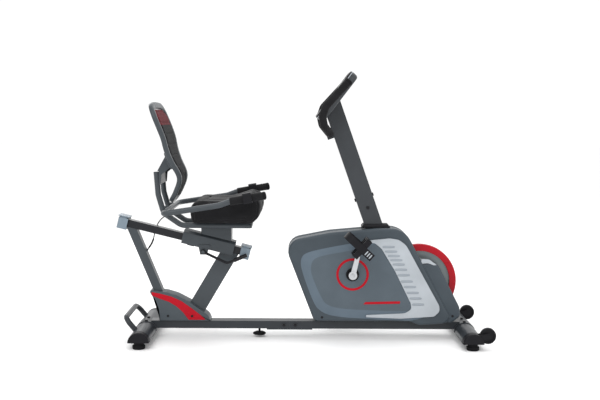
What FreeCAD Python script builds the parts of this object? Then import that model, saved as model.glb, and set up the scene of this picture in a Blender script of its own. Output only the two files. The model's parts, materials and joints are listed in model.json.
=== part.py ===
import FreeCAD, Part
import math
import os
import Sketcher
from FreeCAD import Placement, Rotation, Vector

# Recumbent exercise bike.
# X runs forwards (towards the flywheel), Y to the rider's left, Z up.  The origin is on the floor,
# in the middle of the bike's length and width.  Lengths are millimetres and angles are degrees.

# ------------------------------------------------------------------------------------------------
# Driving dimensions
# ------------------------------------------------------------------------------------------------

SIZES = {
    # gaps and sheet thicknesses
    "running_gap": 0.05,
    "moving_gap": 0.5,
    "shell_wall": 3,
    "tube_wall": 2,
    "foam_wall": 4.5,
    "bar_radius": 12.5,
    "bolt_radius": 4,
    "bolt_head_radius": 8,
    "bolt_head_height": 5.5,
    "bolt_gap": 0.2,
    # base beam
    "beam_width": 60,
    "beam_height": 35,
    "beam_top": 78,
    "beam_joint_x": -57,
    "joint_sleeve_length": 210,
    "joint_bolt_pitch": 52,
    "joint_channel_wall": 5,
    # cross tubes that stand on the floor
    "rear_stabiliser_x": -717,
    "front_stabiliser_x": 750,
    "stabiliser_bottom": 30,
    "stabiliser_width": 94,
    "stabiliser_height": 45,
    "stabiliser_half_length": 228,
    "end_cap_length": 42,
    "end_cap_rounding": 7,
    "saddle_wall": 3,
    "saddle_half_width": 46,
    # levelling feet
    "foot_radius": 28,
    "foot_height": 29,
    "foot_stem_radius": 6,
    "foot_stem_top": 60,
    "foot_inset": 28,
    "middle_foot_x": -197,
    "middle_foot_radius": 30,
    "middle_foot_lift": 10,
    "middle_foot_thickness": 12,
    "middle_stem_radius": 5,
    # transport wheels
    "wheel_radius": 35.5,
    "wheel_width": 22,
    "wheel_offset_x": 64,
    "wheel_height": 65,
    "wheel_inset": 23,
    "wheel_pin_radius": 4,
    "wheel_ear_wall": 5,
    # rear carry handle
    "carry_half_width": 150,
    "carry_reach": 75,
    "carry_rise": 55,
    "carry_radius": 12,
    "carry_bend": 38,
    # seat rail and the two struts that hold it
    "rail_tilt": 13.8,
    "rail_rear_x": -820.5,
    "rail_rear_z": 533.4,
    "rail_length": 574.5,
    "rail_width": 48,
    "rail_height": 34,
    "rail_bracket_length": 44,
    "rail_bracket_width": 72,
    "rail_bracket_height": 60,
    "rear_strut_foot_x": -605,
    "rear_strut_lean": 22.4,
    "rear_strut_depth": 38,
    "rear_strut_width": 50,
    "front_strut_foot_x": -520,
    "front_strut_lean": 30.5,
    "front_strut_depth": 78,
    "front_strut_width": 40,
    # shroud at the foot of the struts
    "shroud_half_width": 42,
    "shroud_bottom": 79,
    "shroud_height": 136,
    "strut_gap": 1.5,
    # casing round the drive
    "casing_half_width": 70,
    "casing_bottom": 86,
    "casing_top": 514,
    "casing_rear_x": -88,
    "guard_recess": 10,
    "trim_thickness": 2,
    # crank
    "crank_x": 228,
    "crank_z": 304.5,
    "crank_length": 140,
    "crank_lean": 13.4,
    "crank_inner_y": 92,
    "crank_thickness": 17,
    "crank_boss_radius": 19,
    "spindle_radius": 10,
    "hub_plate_radius": 30,
    "crank_tube_radius": 25,
    "crank_bearing_radius": 20,
    "bearing_width": 9,
    "frame_plate_y": 28,
    "frame_plate_wall": 4,
    # belt drive
    "drive_pulley_radius": 125,
    "flywheel_pulley_radius": 16,
    "belt_y": 44,
    "belt_width": 12,
    "belt_thickness": 3,
    # flywheel
    "flywheel_x": 539,
    "flywheel_z": 265,
    "flywheel_radius": 172,
    "flywheel_rim_inner": 141,
    "flywheel_rim_width": 30,
    "flywheel_axle_radius": 10,
    "flywheel_bearing_radius": 17,
    "magnet_gap": 4,
    "magnet_bracket_wall": 9,
    "magnet_bracket_angle": 60,
    # pedals
    "pedal_tilt": 48,
    "pedal_length": 100,
    "pedal_width": 92,
    "pedal_thickness": 26,
    "pedal_inner_y": 128,
    "pedal_spindle_radius": 7,
    "strap_width": 34,
    "strap_thickness": 3,
    "strap_height": 82,
    "strap_tail": 46,
    # mast
    "mast_x": 339,
    "mast_z": 490,
    "mast_lean": 19.6,
    "mast_length": 612,
    "mast_depth": 80,
    "mast_width": 40,
    "mast_stub_height": 195,
    "mast_front_bolt_height": 171,
    "mast_side_bolt_height": 122,
    # console
    "console_x": 63,
    "console_z": 1012,
    "console_tilt": 52.8,
    "console_length": 258,
    "console_width": 220,
    "console_depth": 33,
    "console_wall": 2.5,
    "console_face_wall": 10,
    "button_radius": 7,
    "button_pitch": 34,
    "button_height": 3,
    # console handlebar
    "console_bar_height": 498,
    "clamp_wall": 2,
    "console_bar_half_width": 170,
    "console_bar_grip_length": 148,
    # seat carriage
    "carriage_offset": 401.5,
    "carriage_length": 241,
    "carriage_half_width": 50,
    "carriage_wall": 4,
    "carriage_skirt": 25,
    "carriage_rise": 27,
    "carriage_roof": 37,
    "roller_radius": 7,
    "seat_post_length": 137,
    "seat_post_width": 90,
    "seat_post_x": -393,
    "seat_plate_z": 515,
    "seat_plate_lap": 0.5,
    # seat
    "seat_front_x": -175,
    "seat_length": 335,
    "seat_half_width": 215,
    "seat_bottom": 546,
    "seat_thickness": 92,
    "seat_front_rise": 38,
    # back tubes and backrest
    "back_tube_y": 90,
    "back_tube_top": 768,
    "back_tube_bend": 55,
    "backrest_half_width": 200,
    "backrest_top": 1078,
    "backrest_bottom": 626,
    "backrest_thickness": 22,
    "backrest_rim": 30,
    "spine_wall": 8,
    "spine_height": 70,
    "bridge_wall": 5,
    # side handlebar
    "side_bar_gap": 55,
    "side_bar_back_x": -603,
    "side_bar_back_z": 598,
    "side_grip_length": 150,
    "side_grip_angle": 10.2,
    # seat adjusting lever
    "lever_radius": 6,
    "lever_y": 68,
    "lever_pivot_x": -451,
    "lever_pivot_z": 404,
    "lever_pin_radius": 5,
}

doc = FreeCAD.newDocument("RecumbentBike")
sheet = doc.addObject("Spreadsheet::Sheet", "Sizes")
for row, (alias, amount) in enumerate(SIZES.items(), start=1):
    sheet.set("A%d" % row, alias)
    sheet.set("B%d" % row, str(amount))
    sheet.setAlias("B%d" % row, alias)
doc.recompute()


class Size:
    """A number that remembers the spreadsheet formula it comes from."""

    def __init__(self, value, formula):
        self.value = float(value)
        self.formula = formula

    def __add__(self, other):
        other = as_size(other)
        return Size(self.value + other.value, "(%s + %s)" % (self.formula, other.formula))

    def __sub__(self, other):
        other = as_size(other)
        return Size(self.value - other.value, "(%s - %s)" % (self.formula, other.formula))

    def __mul__(self, other):
        other = as_size(other)
        return Size(self.value * other.value, "(%s * %s)" % (self.formula, other.formula))

    def __truediv__(self, other):
        other = as_size(other)
        return Size(self.value / other.value, "(%s / %s)" % (self.formula, other.formula))

    def __neg__(self):
        return Size(-self.value, "(0 - %s)" % self.formula)

    def __radd__(self, other):
        return as_size(other) + self

    def __rsub__(self, other):
        return as_size(other) - self

    def __rmul__(self, other):
        return as_size(other) * self


def as_size(amount):
    """A plain number becomes a Size with no cell behind it."""
    if isinstance(amount, Size):
        return amount
    return Size(amount, repr(float(amount)))


def sine(angle):
    angle = as_size(angle)
    return Size(math.sin(math.radians(angle.value)), "sin(%s)" % angle.formula)


def cosine(angle):
    angle = as_size(angle)
    return Size(math.cos(math.radians(angle.value)), "cos(%s)" % angle.formula)


class Cells:
    """Gives each spreadsheet cell as a Size: cell.beam_top and so on."""

    def __getattr__(self, alias):
        return Size(sheet.get(alias), "Sizes." + alias)


cell = Cells()


# ------------------------------------------------------------------------------------------------
# Building helpers
# ------------------------------------------------------------------------------------------------

def bind(thing, name, amount):
    """Tie a property, or part of one, to the spreadsheet."""
    thing.setExpression(name, as_size(amount).formula)


def place(thing, x=0, y=0, z=0, tilt=None, axis=Vector(0, 1, 0), turn=0):
    """Put a piece at (x, y, z), turned by a fixed angle, or by a tilt that comes from the sheet."""
    thing.Placement = Placement(Vector(0, 0, 0), Rotation(axis, turn))
    if tilt is not None:
        # the axis is only kept beside an angle that is not zero
        thing.Placement = Placement(Vector(0, 0, 0), Rotation(axis, as_size(tilt).value))
        bind(thing, "Placement.Rotation.Angle", tilt)
    bind(thing, "Placement.Base.x", x)
    bind(thing, "Placement.Base.y", y)
    bind(thing, "Placement.Base.z", z)
    return thing


def new_body(label):
    body = doc.addObject("PartDesign::Body", label)
    body.Label = label
    return body


def new_sketch(body, plane, height=0):
    """A sketch on the body's own XY, XZ or YZ plane, moved along +Z, +Y or +X by height."""
    sketch = body.newObject("Sketcher::SketchObject", body.Name + "_sketch")
    support = [item for item in body.Origin.OriginFeatures if item.Role == plane + "_Plane"]
    sketch.AttachmentSupport = (support[0], [""])
    sketch.MapMode = "FlatFace"
    height = as_size(height)
    bind(sketch, "AttachmentOffset.Base.z", -height if plane == "XZ" else height)
    return sketch


def pin(sketch, geometry, point, x, y):
    """Fix one point of the sketch at (x, y)."""
    across = sketch.addConstraint(Sketcher.Constraint("DistanceX", -1, 1, geometry, point, as_size(x).value))
    bind(sketch, "Constraints[%d]" % across, x)
    up = sketch.addConstraint(Sketcher.Constraint("DistanceY", -1, 1, geometry, point, as_size(y).value))
    bind(sketch, "Constraints[%d]" % up, y)


def arc_between(start, end, radius):
    """The arc from start to end that turns left for a positive radius and right for a negative one."""
    chord = end - start
    half = chord.Length / 2
    sagitta_side = math.copysign(math.sqrt(radius * radius - half * half), radius)
    left = Vector(-chord.y, chord.x, 0).normalize()
    centre = start + chord / 2 + left * sagitta_side
    if radius > 0:
        first, last = start, end
    else:
        first, last = end, start
    circle = Part.Circle(centre, Vector(0, 0, 1), abs(radius))
    return Part.ArcOfCircle(circle, circle.parameter(first), circle.parameter(last))


def draw_outline(sketch, corners):
    """A closed outline.  A corner is (x, y), or (x, y, radius) where the side after it is an arc."""
    first = sketch.GeometryCount
    count = len(corners)
    spots = [Vector(as_size(corner[0]).value, as_size(corner[1]).value, 0) for corner in corners]
    ends = []
    for index, corner in enumerate(corners):
        start, end = spots[index], spots[(index + 1) % count]
        radius = as_size(corner[2]) if len(corner) > 2 else None
        if radius is None:
            sketch.addGeometry(Part.LineSegment(start, end))
            ends.append((1, 2))
        else:
            sketch.addGeometry(arc_between(start, end, radius.value))
            ends.append((1, 2) if radius.value > 0 else (2, 1))
            size = sketch.addConstraint(Sketcher.Constraint("Radius", first + index, abs(radius.value)))
            bind(sketch, "Constraints[%d]" % size, radius if radius.value > 0 else -radius)
    for index, corner in enumerate(corners):
        following = (index + 1) % count
        sketch.addConstraint(Sketcher.Constraint(
            "Coincident", first + index, ends[index][1], first + following, ends[following][0]))
        pin(sketch, first + index, ends[index][0], corner[0], corner[1])


def draw_circle(sketch, x, y, radius):
    radius = as_size(radius)
    centre = Vector(as_size(x).value, as_size(y).value, 0)
    index = sketch.addGeometry(Part.Circle(centre, Vector(0, 0, 1), radius.value))
    pin(sketch, index, 3, x, y)
    size = sketch.addConstraint(Sketcher.Constraint("Radius", index, radius.value))
    bind(sketch, "Constraints[%d]" % size, radius)


def rectangle(x0, y0, x1, y1):
    return [(x0, y0), (x1, y0), (x1, y1), (x0, y1)]


def dome(centre, bottom, width, height):
    """A flat-bottomed section with a round top, as two corners and one arc."""
    width, height = as_size(width), as_size(height)
    radius = (width * width / 4 + height * height) / (2 * height)
    return [(centre - width / 2, bottom), (centre + width / 2, bottom, radius)]


def pad(body, sketch, length):
    """Thicken a sketch by half the length to each side of its plane."""
    feature = body.newObject("PartDesign::Pad", body.Name + "_pad")
    feature.Profile = sketch
    feature.SideType = "Symmetric"
    bind(feature, "Length", length)
    return feature


def slab(label, plane, outlines, middle, length, circles=()):
    """A body padded from outlines and circles, centred at middle along the plane's normal."""
    body = new_body(label)
    sketch = new_sketch(body, plane, middle)
    for corners in outlines:
        draw_outline(sketch, corners)
    for x, y, radius in circles:
        draw_circle(sketch, x, y, radius)
    pad(body, sketch, length)
    return body


def cut_through(body, plane, outlines=(), circles=(), middle=0, length=2000):
    """Pocket outlines and circles right through the body, both ways from the plane."""
    sketch = new_sketch(body, plane, middle)
    for corners in outlines:
        draw_outline(sketch, corners)
    for x, y, radius in circles:
        draw_circle(sketch, x, y, radius)
    feature = body.newObject("PartDesign::Pocket", body.Name + "_pocket")
    feature.Profile = sketch
    feature.SideType = "Symmetric"
    bind(feature, "Length", length)
    return body


def round_edges(body, radius, chosen):
    """Fillet the edges of the body's last feature for which chosen(edge) is true."""
    doc.recompute()
    tip = body.Tip
    names = ["Edge%d" % (index + 1) for index, edge in enumerate(tip.Shape.Edges) if chosen(edge)]
    feature = body.newObject("PartDesign::Fillet", body.Name + "_fillet")
    feature.Base = (tip, names)
    bind(feature, "Radius", radius)
    return body


def along(axis, near=None, reach=1.0):
    """Chooses straight edges along an axis, and near one (first, second) place across it if given."""
    others = {"x": ("y", "z"), "y": ("x", "z"), "z": ("x", "y")}[axis]

    def chosen(edge):
        if len(edge.Vertexes) != 2:
            return False
        start, end = edge.Vertexes[0].Point, edge.Vertexes[1].Point
        if any(abs(getattr(end, other) - getattr(start, other)) > 1e-6 for other in others):
            return False
        if near is None:
            return True
        return any(all(abs(getattr(start, other) - as_size(amount).value) < reach
                       for other, amount in zip(others, place_wanted)) for place_wanted in near)
    return chosen


def hollow(body, wall, opened):
    """Leave a wall of the given thickness, open on the faces for which opened(face) is true."""
    doc.recompute()
    tip = body.Tip
    names = ["Face%d" % (index + 1) for index, face in enumerate(tip.Shape.Faces) if opened(face)]
    feature = body.newObject("PartDesign::Thickness", body.Name + "_shell")
    feature.Base = (tip, names)
    feature.Reversed = True
    bind(feature, "Value", wall)
    return body


def on_middle_plane(face):
    return abs(face.CenterOfMass.y) < 0.01


def turned(label, plane, profile, angle=360):
    """A body turned about the sketch's upright axis: Z for the XZ plane and Y for the XY plane."""
    body = new_body(label)
    sketch = new_sketch(body, plane)
    draw_outline(sketch, profile)
    feature = body.newObject("PartDesign::Revolution", body.Name + "_turn")
    feature.Profile = sketch
    feature.ReferenceAxis = (sketch, ["V_Axis"])
    if angle != 360:
        feature.Midplane = True
    bind(feature, "Angle", angle)
    return body


def block(label, x, y, z, length, width, height):
    """A box whose lowest corner is at (x, y, z)."""
    box = doc.addObject("Part::Box", label)
    box.Label = label
    bind(box, "Length", length)
    bind(box, "Width", width)
    bind(box, "Height", height)
    return place(box, x, y, z)


def rod(label, x, y, z, radius, length, axis="y"):
    """A cylinder that starts at (x, y, z) and runs along an axis."""
    cylinder = doc.addObject("Part::Cylinder", label)
    cylinder.Label = label
    bind(cylinder, "Radius", radius)
    bind(cylinder, "Height", length)
    if axis == "y":
        return place(cylinder, x, y, z, axis=Vector(1, 0, 0), turn=-90)
    if axis == "x":
        return place(cylinder, x, y, z, axis=Vector(0, 1, 0), turn=90)
    return place(cylinder, x, y, z)


def fuse(label, pieces):
    joined = doc.addObject("Part::MultiFuse", label)
    joined.Label = label
    joined.Shapes = pieces
    return joined


def cut(label, base, tool):
    left = doc.addObject("Part::Cut", label)
    left.Label = label
    left.Base = base
    left.Tool = tool
    return left


def common(label, one, other):
    shared = doc.addObject("Part::Common", label)
    shared.Label = label
    shared.Base = one
    shared.Tool = other
    return shared


def group(label, pieces):
    """Separate solids that share one node."""
    together = doc.addObject("Part::Compound", label)
    together.Label = label
    together.Links = pieces
    return together


def mirrored(label, source):
    """The same piece on the other side of the bike."""
    copy = doc.addObject("Part::Mirroring", label)
    copy.Label = label
    copy.Source = source
    copy.Base = Vector(0, 0, 0)
    copy.Normal = Vector(0, 1, 0)
    return copy


def bent_path(points, bend):
    """Straight runs through the points, with an arc of the bend radius at each inner point."""
    edges = []
    last = points[0]
    for before, corner, after in zip(points, points[1:], points[2:]):
        towards = (corner - before).normalize()
        away = (after - corner).normalize()
        half_turn = towards.getAngle(away) / 2
        setback = bend * math.tan(half_turn)
        start = corner - towards * setback
        end = corner + away * setback
        inwards = (away - towards).normalize()
        middle = corner + inwards * (bend / math.cos(half_turn) - bend)
        if (start - last).Length > 1e-6:
            edges.append(Part.LineSegment(last, start).toShape())
        edges.append(Part.Arc(start, middle, end).toShape())
        last = end
    edges.append(Part.LineSegment(last, points[-1]).toShape())
    return Part.Wire(edges)


def swept(path, points, radius):
    """A round bar along a path that starts at the first point towards the second."""
    ring = Part.Wire([Part.Circle(points[0], points[1] - points[0], radius).toShape()])
    return path.makePipeShell([ring], True, True)


def bent_tube(label, points, bend, radius, wall=None):
    """A bent round tube, or a bar where no wall is given.  Its shape is set from the sheet's values."""
    points = [Vector(*[as_size(amount).value for amount in point]) for point in points]
    bend, radius = as_size(bend).value, as_size(radius).value
    path = bent_path(points, bend)
    shape = swept(path, points, radius)
    if wall is not None:
        shape = shape.cut(swept(path, points, radius - as_size(wall).value))
    tube = doc.addObject("Part::Feature", label)
    tube.Label = label
    tube.Shape = shape
    tube.Placement = Placement()
    return tube


def hex_bolt(name, length, placed):
    """An M8 hexagon bolt and nut that clamp a length centred on the local Z axis, put where placed() says."""
    head = doc.addObject("Part::Prism", name + "_head")
    head.Polygon = 6
    bind(head, "Circumradius", cell.bolt_head_radius)
    bind(head, "Height", cell.bolt_head_height)
    place(head, 0, 0, length / 2)
    nut = doc.addObject("Part::Prism", name + "_nut")
    nut.Polygon = 6
    bind(nut, "Circumradius", cell.bolt_head_radius)
    bind(nut, "Height", cell.bolt_head_height)
    place(nut, 0, 0, -length / 2 - cell.bolt_head_height)
    shank = rod(name + "_shank", 0, 0, -length / 2, cell.bolt_radius, length, "z")
    bolt = fuse(name, [head, nut, shank])
    return placed(bolt)


NODES = {}


def keep(piece):
    """Hand a finished sub-part over for writing, under its own label."""
    NODES[piece.Label] = piece
    return piece


# ------------------------------------------------------------------------------------------------
# Route of the sensor cord
# ------------------------------------------------------------------------------------------------

CORD_RADIUS = 2.5
# From the left back tube down past the rail's far side and into the front of the rear strut.
CORD_ROUTE = [(-636, 78, 556), (-650, 72, 546), (-664, 62, 533), (-674, 51, 516), (-681, 44, 497),
              (-686, 40, 476), (-690, 38, 455), (-695, 34, 436), (-703, 26, 420), (-711, 15, 408),
              (-714, 7, 403)]
CORD_ARC_SHARE = 0.45


def cord_gland(label, end, before):
    """A short stub whose face meets one end of the cord square on."""
    outwards = (Vector(*before) - Vector(*end)).normalize()
    length = 24
    stub = doc.addObject("Part::Cylinder", label)
    stub.Label = label
    stub.Radius = 2 * CORD_RADIUS
    stub.Height = length
    stub.Placement = Placement(Vector(*end) - outwards * length, Rotation(Vector(0, 0, 1), outwards))
    return stub


# ------------------------------------------------------------------------------------------------
# Base frame
# ------------------------------------------------------------------------------------------------

BEAM_BOTTOM = cell.beam_top - cell.beam_height
STABILISERS = {"rear": cell.rear_stabiliser_x, "front": cell.front_stabiliser_x}
END_Y = cell.stabiliser_half_length + cell.end_cap_length


def stabiliser_form(label, x, grow=0, half_length=cell.stabiliser_half_length):
    """The solid outer form of a cross tube, grown all round by a wall where something wraps it."""
    section = dome(x, cell.stabiliser_bottom - grow, cell.stabiliser_width + 2 * as_size(grow),
                   cell.stabiliser_height + 2 * as_size(grow))
    return slab(label, "XZ", [section], 0, 2 * half_length)


def stabiliser_blanks():
    tubes = []
    for name, x in STABILISERS.items():
        wall = cell.tube_wall
        outside = dome(x, cell.stabiliser_bottom, cell.stabiliser_width, cell.stabiliser_height)
        inside = dome(x, cell.stabiliser_bottom + wall, cell.stabiliser_width - 2 * wall,
                      cell.stabiliser_height - 2 * wall)
        tubes.append(slab(name + "_cross_tube", "XZ", [outside, inside], 0, 2 * cell.stabiliser_half_length))
    return group("stabiliser_blanks", tubes)


def beam(label, start, end, stabiliser_x, holes=()):
    """One half of the base beam, with the saddle that wraps its cross tube."""
    body = new_body(label + "_tube")
    sketch = new_sketch(body, "YZ", (start + end) / 2)
    half = cell.beam_width / 2
    wall = cell.tube_wall
    draw_outline(sketch, rectangle(-half, BEAM_BOTTOM, half, cell.beam_top))
    draw_outline(sketch, rectangle(-half + wall, BEAM_BOTTOM + wall, half - wall, cell.beam_top - wall))
    pad(body, sketch, end - start)
    if holes:
        cut_through(body, "XY", circles=holes, middle=BEAM_BOTTOM, length=2 * wall + 2)
    saddle = slab(label + "_saddle", "XZ",
                  [dome(stabiliser_x, cell.stabiliser_bottom + cell.saddle_wall,
                        cell.stabiliser_width + 2 * cell.saddle_wall, cell.stabiliser_height)],
                  0, 2 * cell.saddle_half_width)
    joined = fuse(label + "_welded", [body, saddle])
    return cut(label, joined, stabiliser_form(label + "_seat", stabiliser_x))


def base_frame():
    middle_hole = (cell.middle_foot_x, 0, cell.middle_stem_radius + cell.running_gap)
    rear = beam("rear_beam_blank", cell.rear_stabiliser_x + 22, cell.beam_joint_x,
                cell.rear_stabiliser_x, [middle_hole])
    front = beam("front_beam_blank", cell.beam_joint_x, cell.front_stabiliser_x - 22, cell.front_stabiliser_x)
    keep(drill("rear_frame_beam", rear))
    keep(drill("front_frame_beam", front))
    keep(drill("stabiliser_tubes", stabiliser_blanks()))


def joint_sleeve():
    """The channel that is bolted inside and under the two beams where they meet."""
    half = cell.beam_width / 2 - cell.tube_wall
    low, high = BEAM_BOTTOM + cell.tube_wall, cell.beam_top - cell.tube_wall
    wall = 3
    inner = new_body("inner_sleeve")
    sketch = new_sketch(inner, "YZ", cell.beam_joint_x)
    draw_outline(sketch, rectangle(-half, low, half, high))
    draw_outline(sketch, rectangle(-half + wall, low + wall, half - wall, high - wall))
    pad(inner, sketch, cell.joint_sleeve_length)
    under = slab("joint_channel", "XY",
                 [rectangle(cell.beam_joint_x - cell.joint_sleeve_length / 2, -cell.beam_width / 2,
                            cell.beam_joint_x + cell.joint_sleeve_length / 2, cell.beam_width / 2)],
                 BEAM_BOTTOM - cell.joint_channel_wall / 2, cell.joint_channel_wall)
    keep(drill("beam_joint_sleeve", group("joint_blanks", [inner, under])))


def bolt_places():
    """Each frame bolt: a name, the length that it clamps, and a function that puts a piece on its axis."""
    places = []
    z = cell.beam_top - cell.beam_height / 2
    for step in (-0.5, 0.5):
        x = cell.beam_joint_x + step * cell.joint_bolt_pitch
        places.append(("joint_bolt", cell.beam_width,
                       lambda piece, x=x: place(piece, x, 0, z, axis=Vector(1, 0, 0), turn=90)))
    saddle_top = cell.stabiliser_bottom + cell.stabiliser_height + cell.saddle_wall
    clamped = cell.stabiliser_height + cell.saddle_wall
    for x in STABILISERS.values():
        for side in (-1, 1):
            y = side * (cell.saddle_half_width - 11)
            places.append(("saddle_bolt", clamped + 0.4,
                           lambda piece, x=x, y=y: place(piece, x, y, saddle_top - clamped / 2)))
    places.append(("mast_front_bolt", cell.mast_depth, lambda piece: across_mast(piece, True)))
    places.append(("mast_side_bolt", cell.mast_width, lambda piece: across_mast(piece, False)))
    return places


def across_mast(piece, front):
    """Turn a bolt drawn along Z so that it crosses the mast from front to back, or from side to side."""
    height = cell.mast_front_bolt_height if front else cell.mast_side_bolt_height
    on_mast(piece, height)
    if front:
        bind(piece, "Placement.Rotation.Angle", 90 - cell.mast_lean)
    else:
        piece.setExpression("Placement.Rotation.Angle", None)
        piece.Placement = Placement(piece.Placement.Base, Rotation(Vector(1, 0, 0), 90))
    return piece


def frame_bolts():
    """Every M8 hexagon bolt of the frame: beam joint, saddles and mast."""
    keep(group("frame_bolts", [hex_bolt(name, length, placed) for name, length, placed in BOLT_PLACES]))


BOLT_PLACES = bolt_places()


def drill(label, piece):
    """Drill a piece wherever a frame bolt passes through it."""
    holes = []
    for name, length, placed in BOLT_PLACES:
        hole = rod(name + "_hole", 0, 0, -length / 2 - 2, cell.bolt_radius + cell.bolt_gap, length + 4, "z")
        holes.append(placed(group(name + "_room", [hole])))
    return cut(label, piece, group(label + "_bolt_holes", holes))


def end_caps():
    """Plastic plugs on the cross tubes.  Each carries a foot, and the front two a wheel."""
    caps = []
    middle = -(cell.stabiliser_half_length + cell.end_cap_length / 2)
    stem = cell.foot_stem_radius + cell.running_gap
    for name, x in STABILISERS.items():
        section = dome(x, cell.stabiliser_bottom, cell.stabiliser_width, cell.stabiliser_height)
        cap = slab(name + "_cap_form", "XZ", [section], middle, cell.end_cap_length)
        outer_y = -END_Y.value
        round_edges(cap, cell.end_cap_rounding,
                    lambda edge: edge.BoundBox.YMax < outer_y + 0.01 and edge.BoundBox.ZLength > 1)
        cut_through(cap, "XY", circles=[(x, -(END_Y - cell.foot_inset), stem)],
                    middle=cell.stabiliser_bottom, length=2 * (cell.foot_stem_top - cell.stabiliser_bottom + 3))
        if name == "front":
            cap = wheel_fork(cap, x)
        caps += [cap, mirrored(name + "_cap_left", cap)]
    keep(group("end_caps", caps))


def wheel_fork(cap, x):
    """Two ears and a pin that hold a transport wheel at the front of an end cap."""
    wheel_x = x + cell.wheel_offset_x
    wheel_y = -(END_Y - cell.wheel_inset)
    room = cell.wheel_width / 2 + 1.5
    well = slab("wheel_well", "XZ", [], wheel_y, 2 * room, [(wheel_x, cell.wheel_height, cell.wheel_radius + 3)])
    plug = cut("cap_with_well", cap, well)
    ears = []
    boss = 13
    for sign in (-1, 1):
        middle = wheel_y + sign * (room + cell.wheel_ear_wall / 2)
        arm = slab("wheel_ear", "XZ",
                   [[(x + 20, cell.stabiliser_bottom + 4), (wheel_x, cell.wheel_height - boss, 1.05 * as_size(boss)),
                     (wheel_x, cell.wheel_height + boss), (x + 16, cell.stabiliser_bottom + 40)]],
                   middle, cell.wheel_ear_wall)
        ears.append(arm)
    pin_length = 2 * room + 2 * cell.wheel_ear_wall
    axle = rod("wheel_pin", wheel_x, wheel_y - pin_length / 2, cell.wheel_height, cell.wheel_pin_radius, pin_length)
    return fuse("front_cap_right", [plug, axle] + ears)


def levelling_feet():
    """Four screw feet under the end caps and one under the beam."""
    edge = 3
    profile = [(0, 0), (cell.foot_radius - edge, 0), (cell.foot_radius, edge), (cell.foot_radius, 14),
               (cell.foot_radius - 6, 20), (cell.foot_radius - 6, cell.foot_height),
               (cell.foot_stem_radius, cell.foot_height), (cell.foot_stem_radius, cell.foot_stem_top),
               (0, cell.foot_stem_top)]
    for name, x in STABILISERS.items():
        for side, sign in (("right", -1), ("left", 1)):
            foot = turned("%s_foot_%s" % (name, side), "XZ", profile)
            keep(place(foot, x, sign * (END_Y - cell.foot_inset), 0))
    low = cell.middle_foot_lift
    thick = cell.middle_foot_thickness
    stem_top = cell.beam_top - cell.tube_wall - 10
    foot = turned("middle_foot", "XZ",
                  [(0, low), (cell.middle_foot_radius - 3, low), (cell.middle_foot_radius, low + 3),
                   (cell.middle_foot_radius, low + thick - 5), (cell.middle_foot_radius - 9, low + thick),
                   (cell.middle_stem_radius, low + thick), (cell.middle_stem_radius, stem_top), (0, stem_top)])
    keep(place(foot, cell.middle_foot_x, 0, 0))


def transport_wheels():
    half = cell.wheel_width / 2
    bore = cell.wheel_pin_radius + cell.running_gap
    tread = cell.wheel_radius
    profile = [(bore, -half), (13, -half), (13, -half + 5), (tread - 8, -half + 5), (tread - 8, -half),
               (tread - 3, -half), (tread, -half + 4), (tread, half - 4), (tread - 3, half),
               (tread - 8, half), (tread - 8, half - 5), (13, half - 5), (13, half), (bore, half)]
    for side, sign in (("right", -1), ("left", 1)):
        wheel = turned("transport_wheel_" + side, "XY", profile)
        keep(place(wheel, cell.front_stabiliser_x + cell.wheel_offset_x,
                   sign * (END_Y - cell.wheel_inset), cell.wheel_height))


def carry_handle():
    """The bent tube at the back that the bike is lifted by."""
    x = cell.rear_stabiliser_x
    half = cell.carry_half_width
    low = cell.stabiliser_bottom + 30
    points = [(x - 20, -half, low - 10), (x - cell.carry_reach, -half, low + cell.carry_rise),
              (x - cell.carry_reach, half, low + cell.carry_rise), (x - 20, half, low - 10)]
    tube = bent_tube("carry_tube", points, cell.carry_bend, cell.carry_radius, cell.tube_wall)
    keep(cut("rear_carry_handle", tube, stabiliser_form("carry_seat", x)))


# ------------------------------------------------------------------------------------------------
# Seat rail, struts and shroud
# ------------------------------------------------------------------------------------------------

def on_rail(piece, offset=0):
    """Place a piece that is drawn along the rail: X down the rail, Z square to it."""
    offset = as_size(offset)
    return place(piece, cell.rail_rear_x + offset * cosine(cell.rail_tilt), 0,
                 cell.rail_rear_z - offset * sine(cell.rail_tilt), tilt=cell.rail_tilt)


def seat_rail():
    half_width, half_height = cell.rail_width / 2, cell.rail_height / 2
    wall = cell.tube_wall
    body = new_body("seat_rail")
    start, end = -cell.rail_bracket_length / 2 + 6, cell.rail_length + cell.rail_bracket_length / 2 - 6
    sketch = new_sketch(body, "YZ", (start + end) / 2)
    draw_outline(sketch, rectangle(-half_width, -half_height, half_width, half_height))
    draw_outline(sketch, rectangle(-half_width + wall, -half_height + wall, half_width - wall, half_height - wall))
    pad(body, sketch, end - start)
    keep(on_rail(body))


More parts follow.
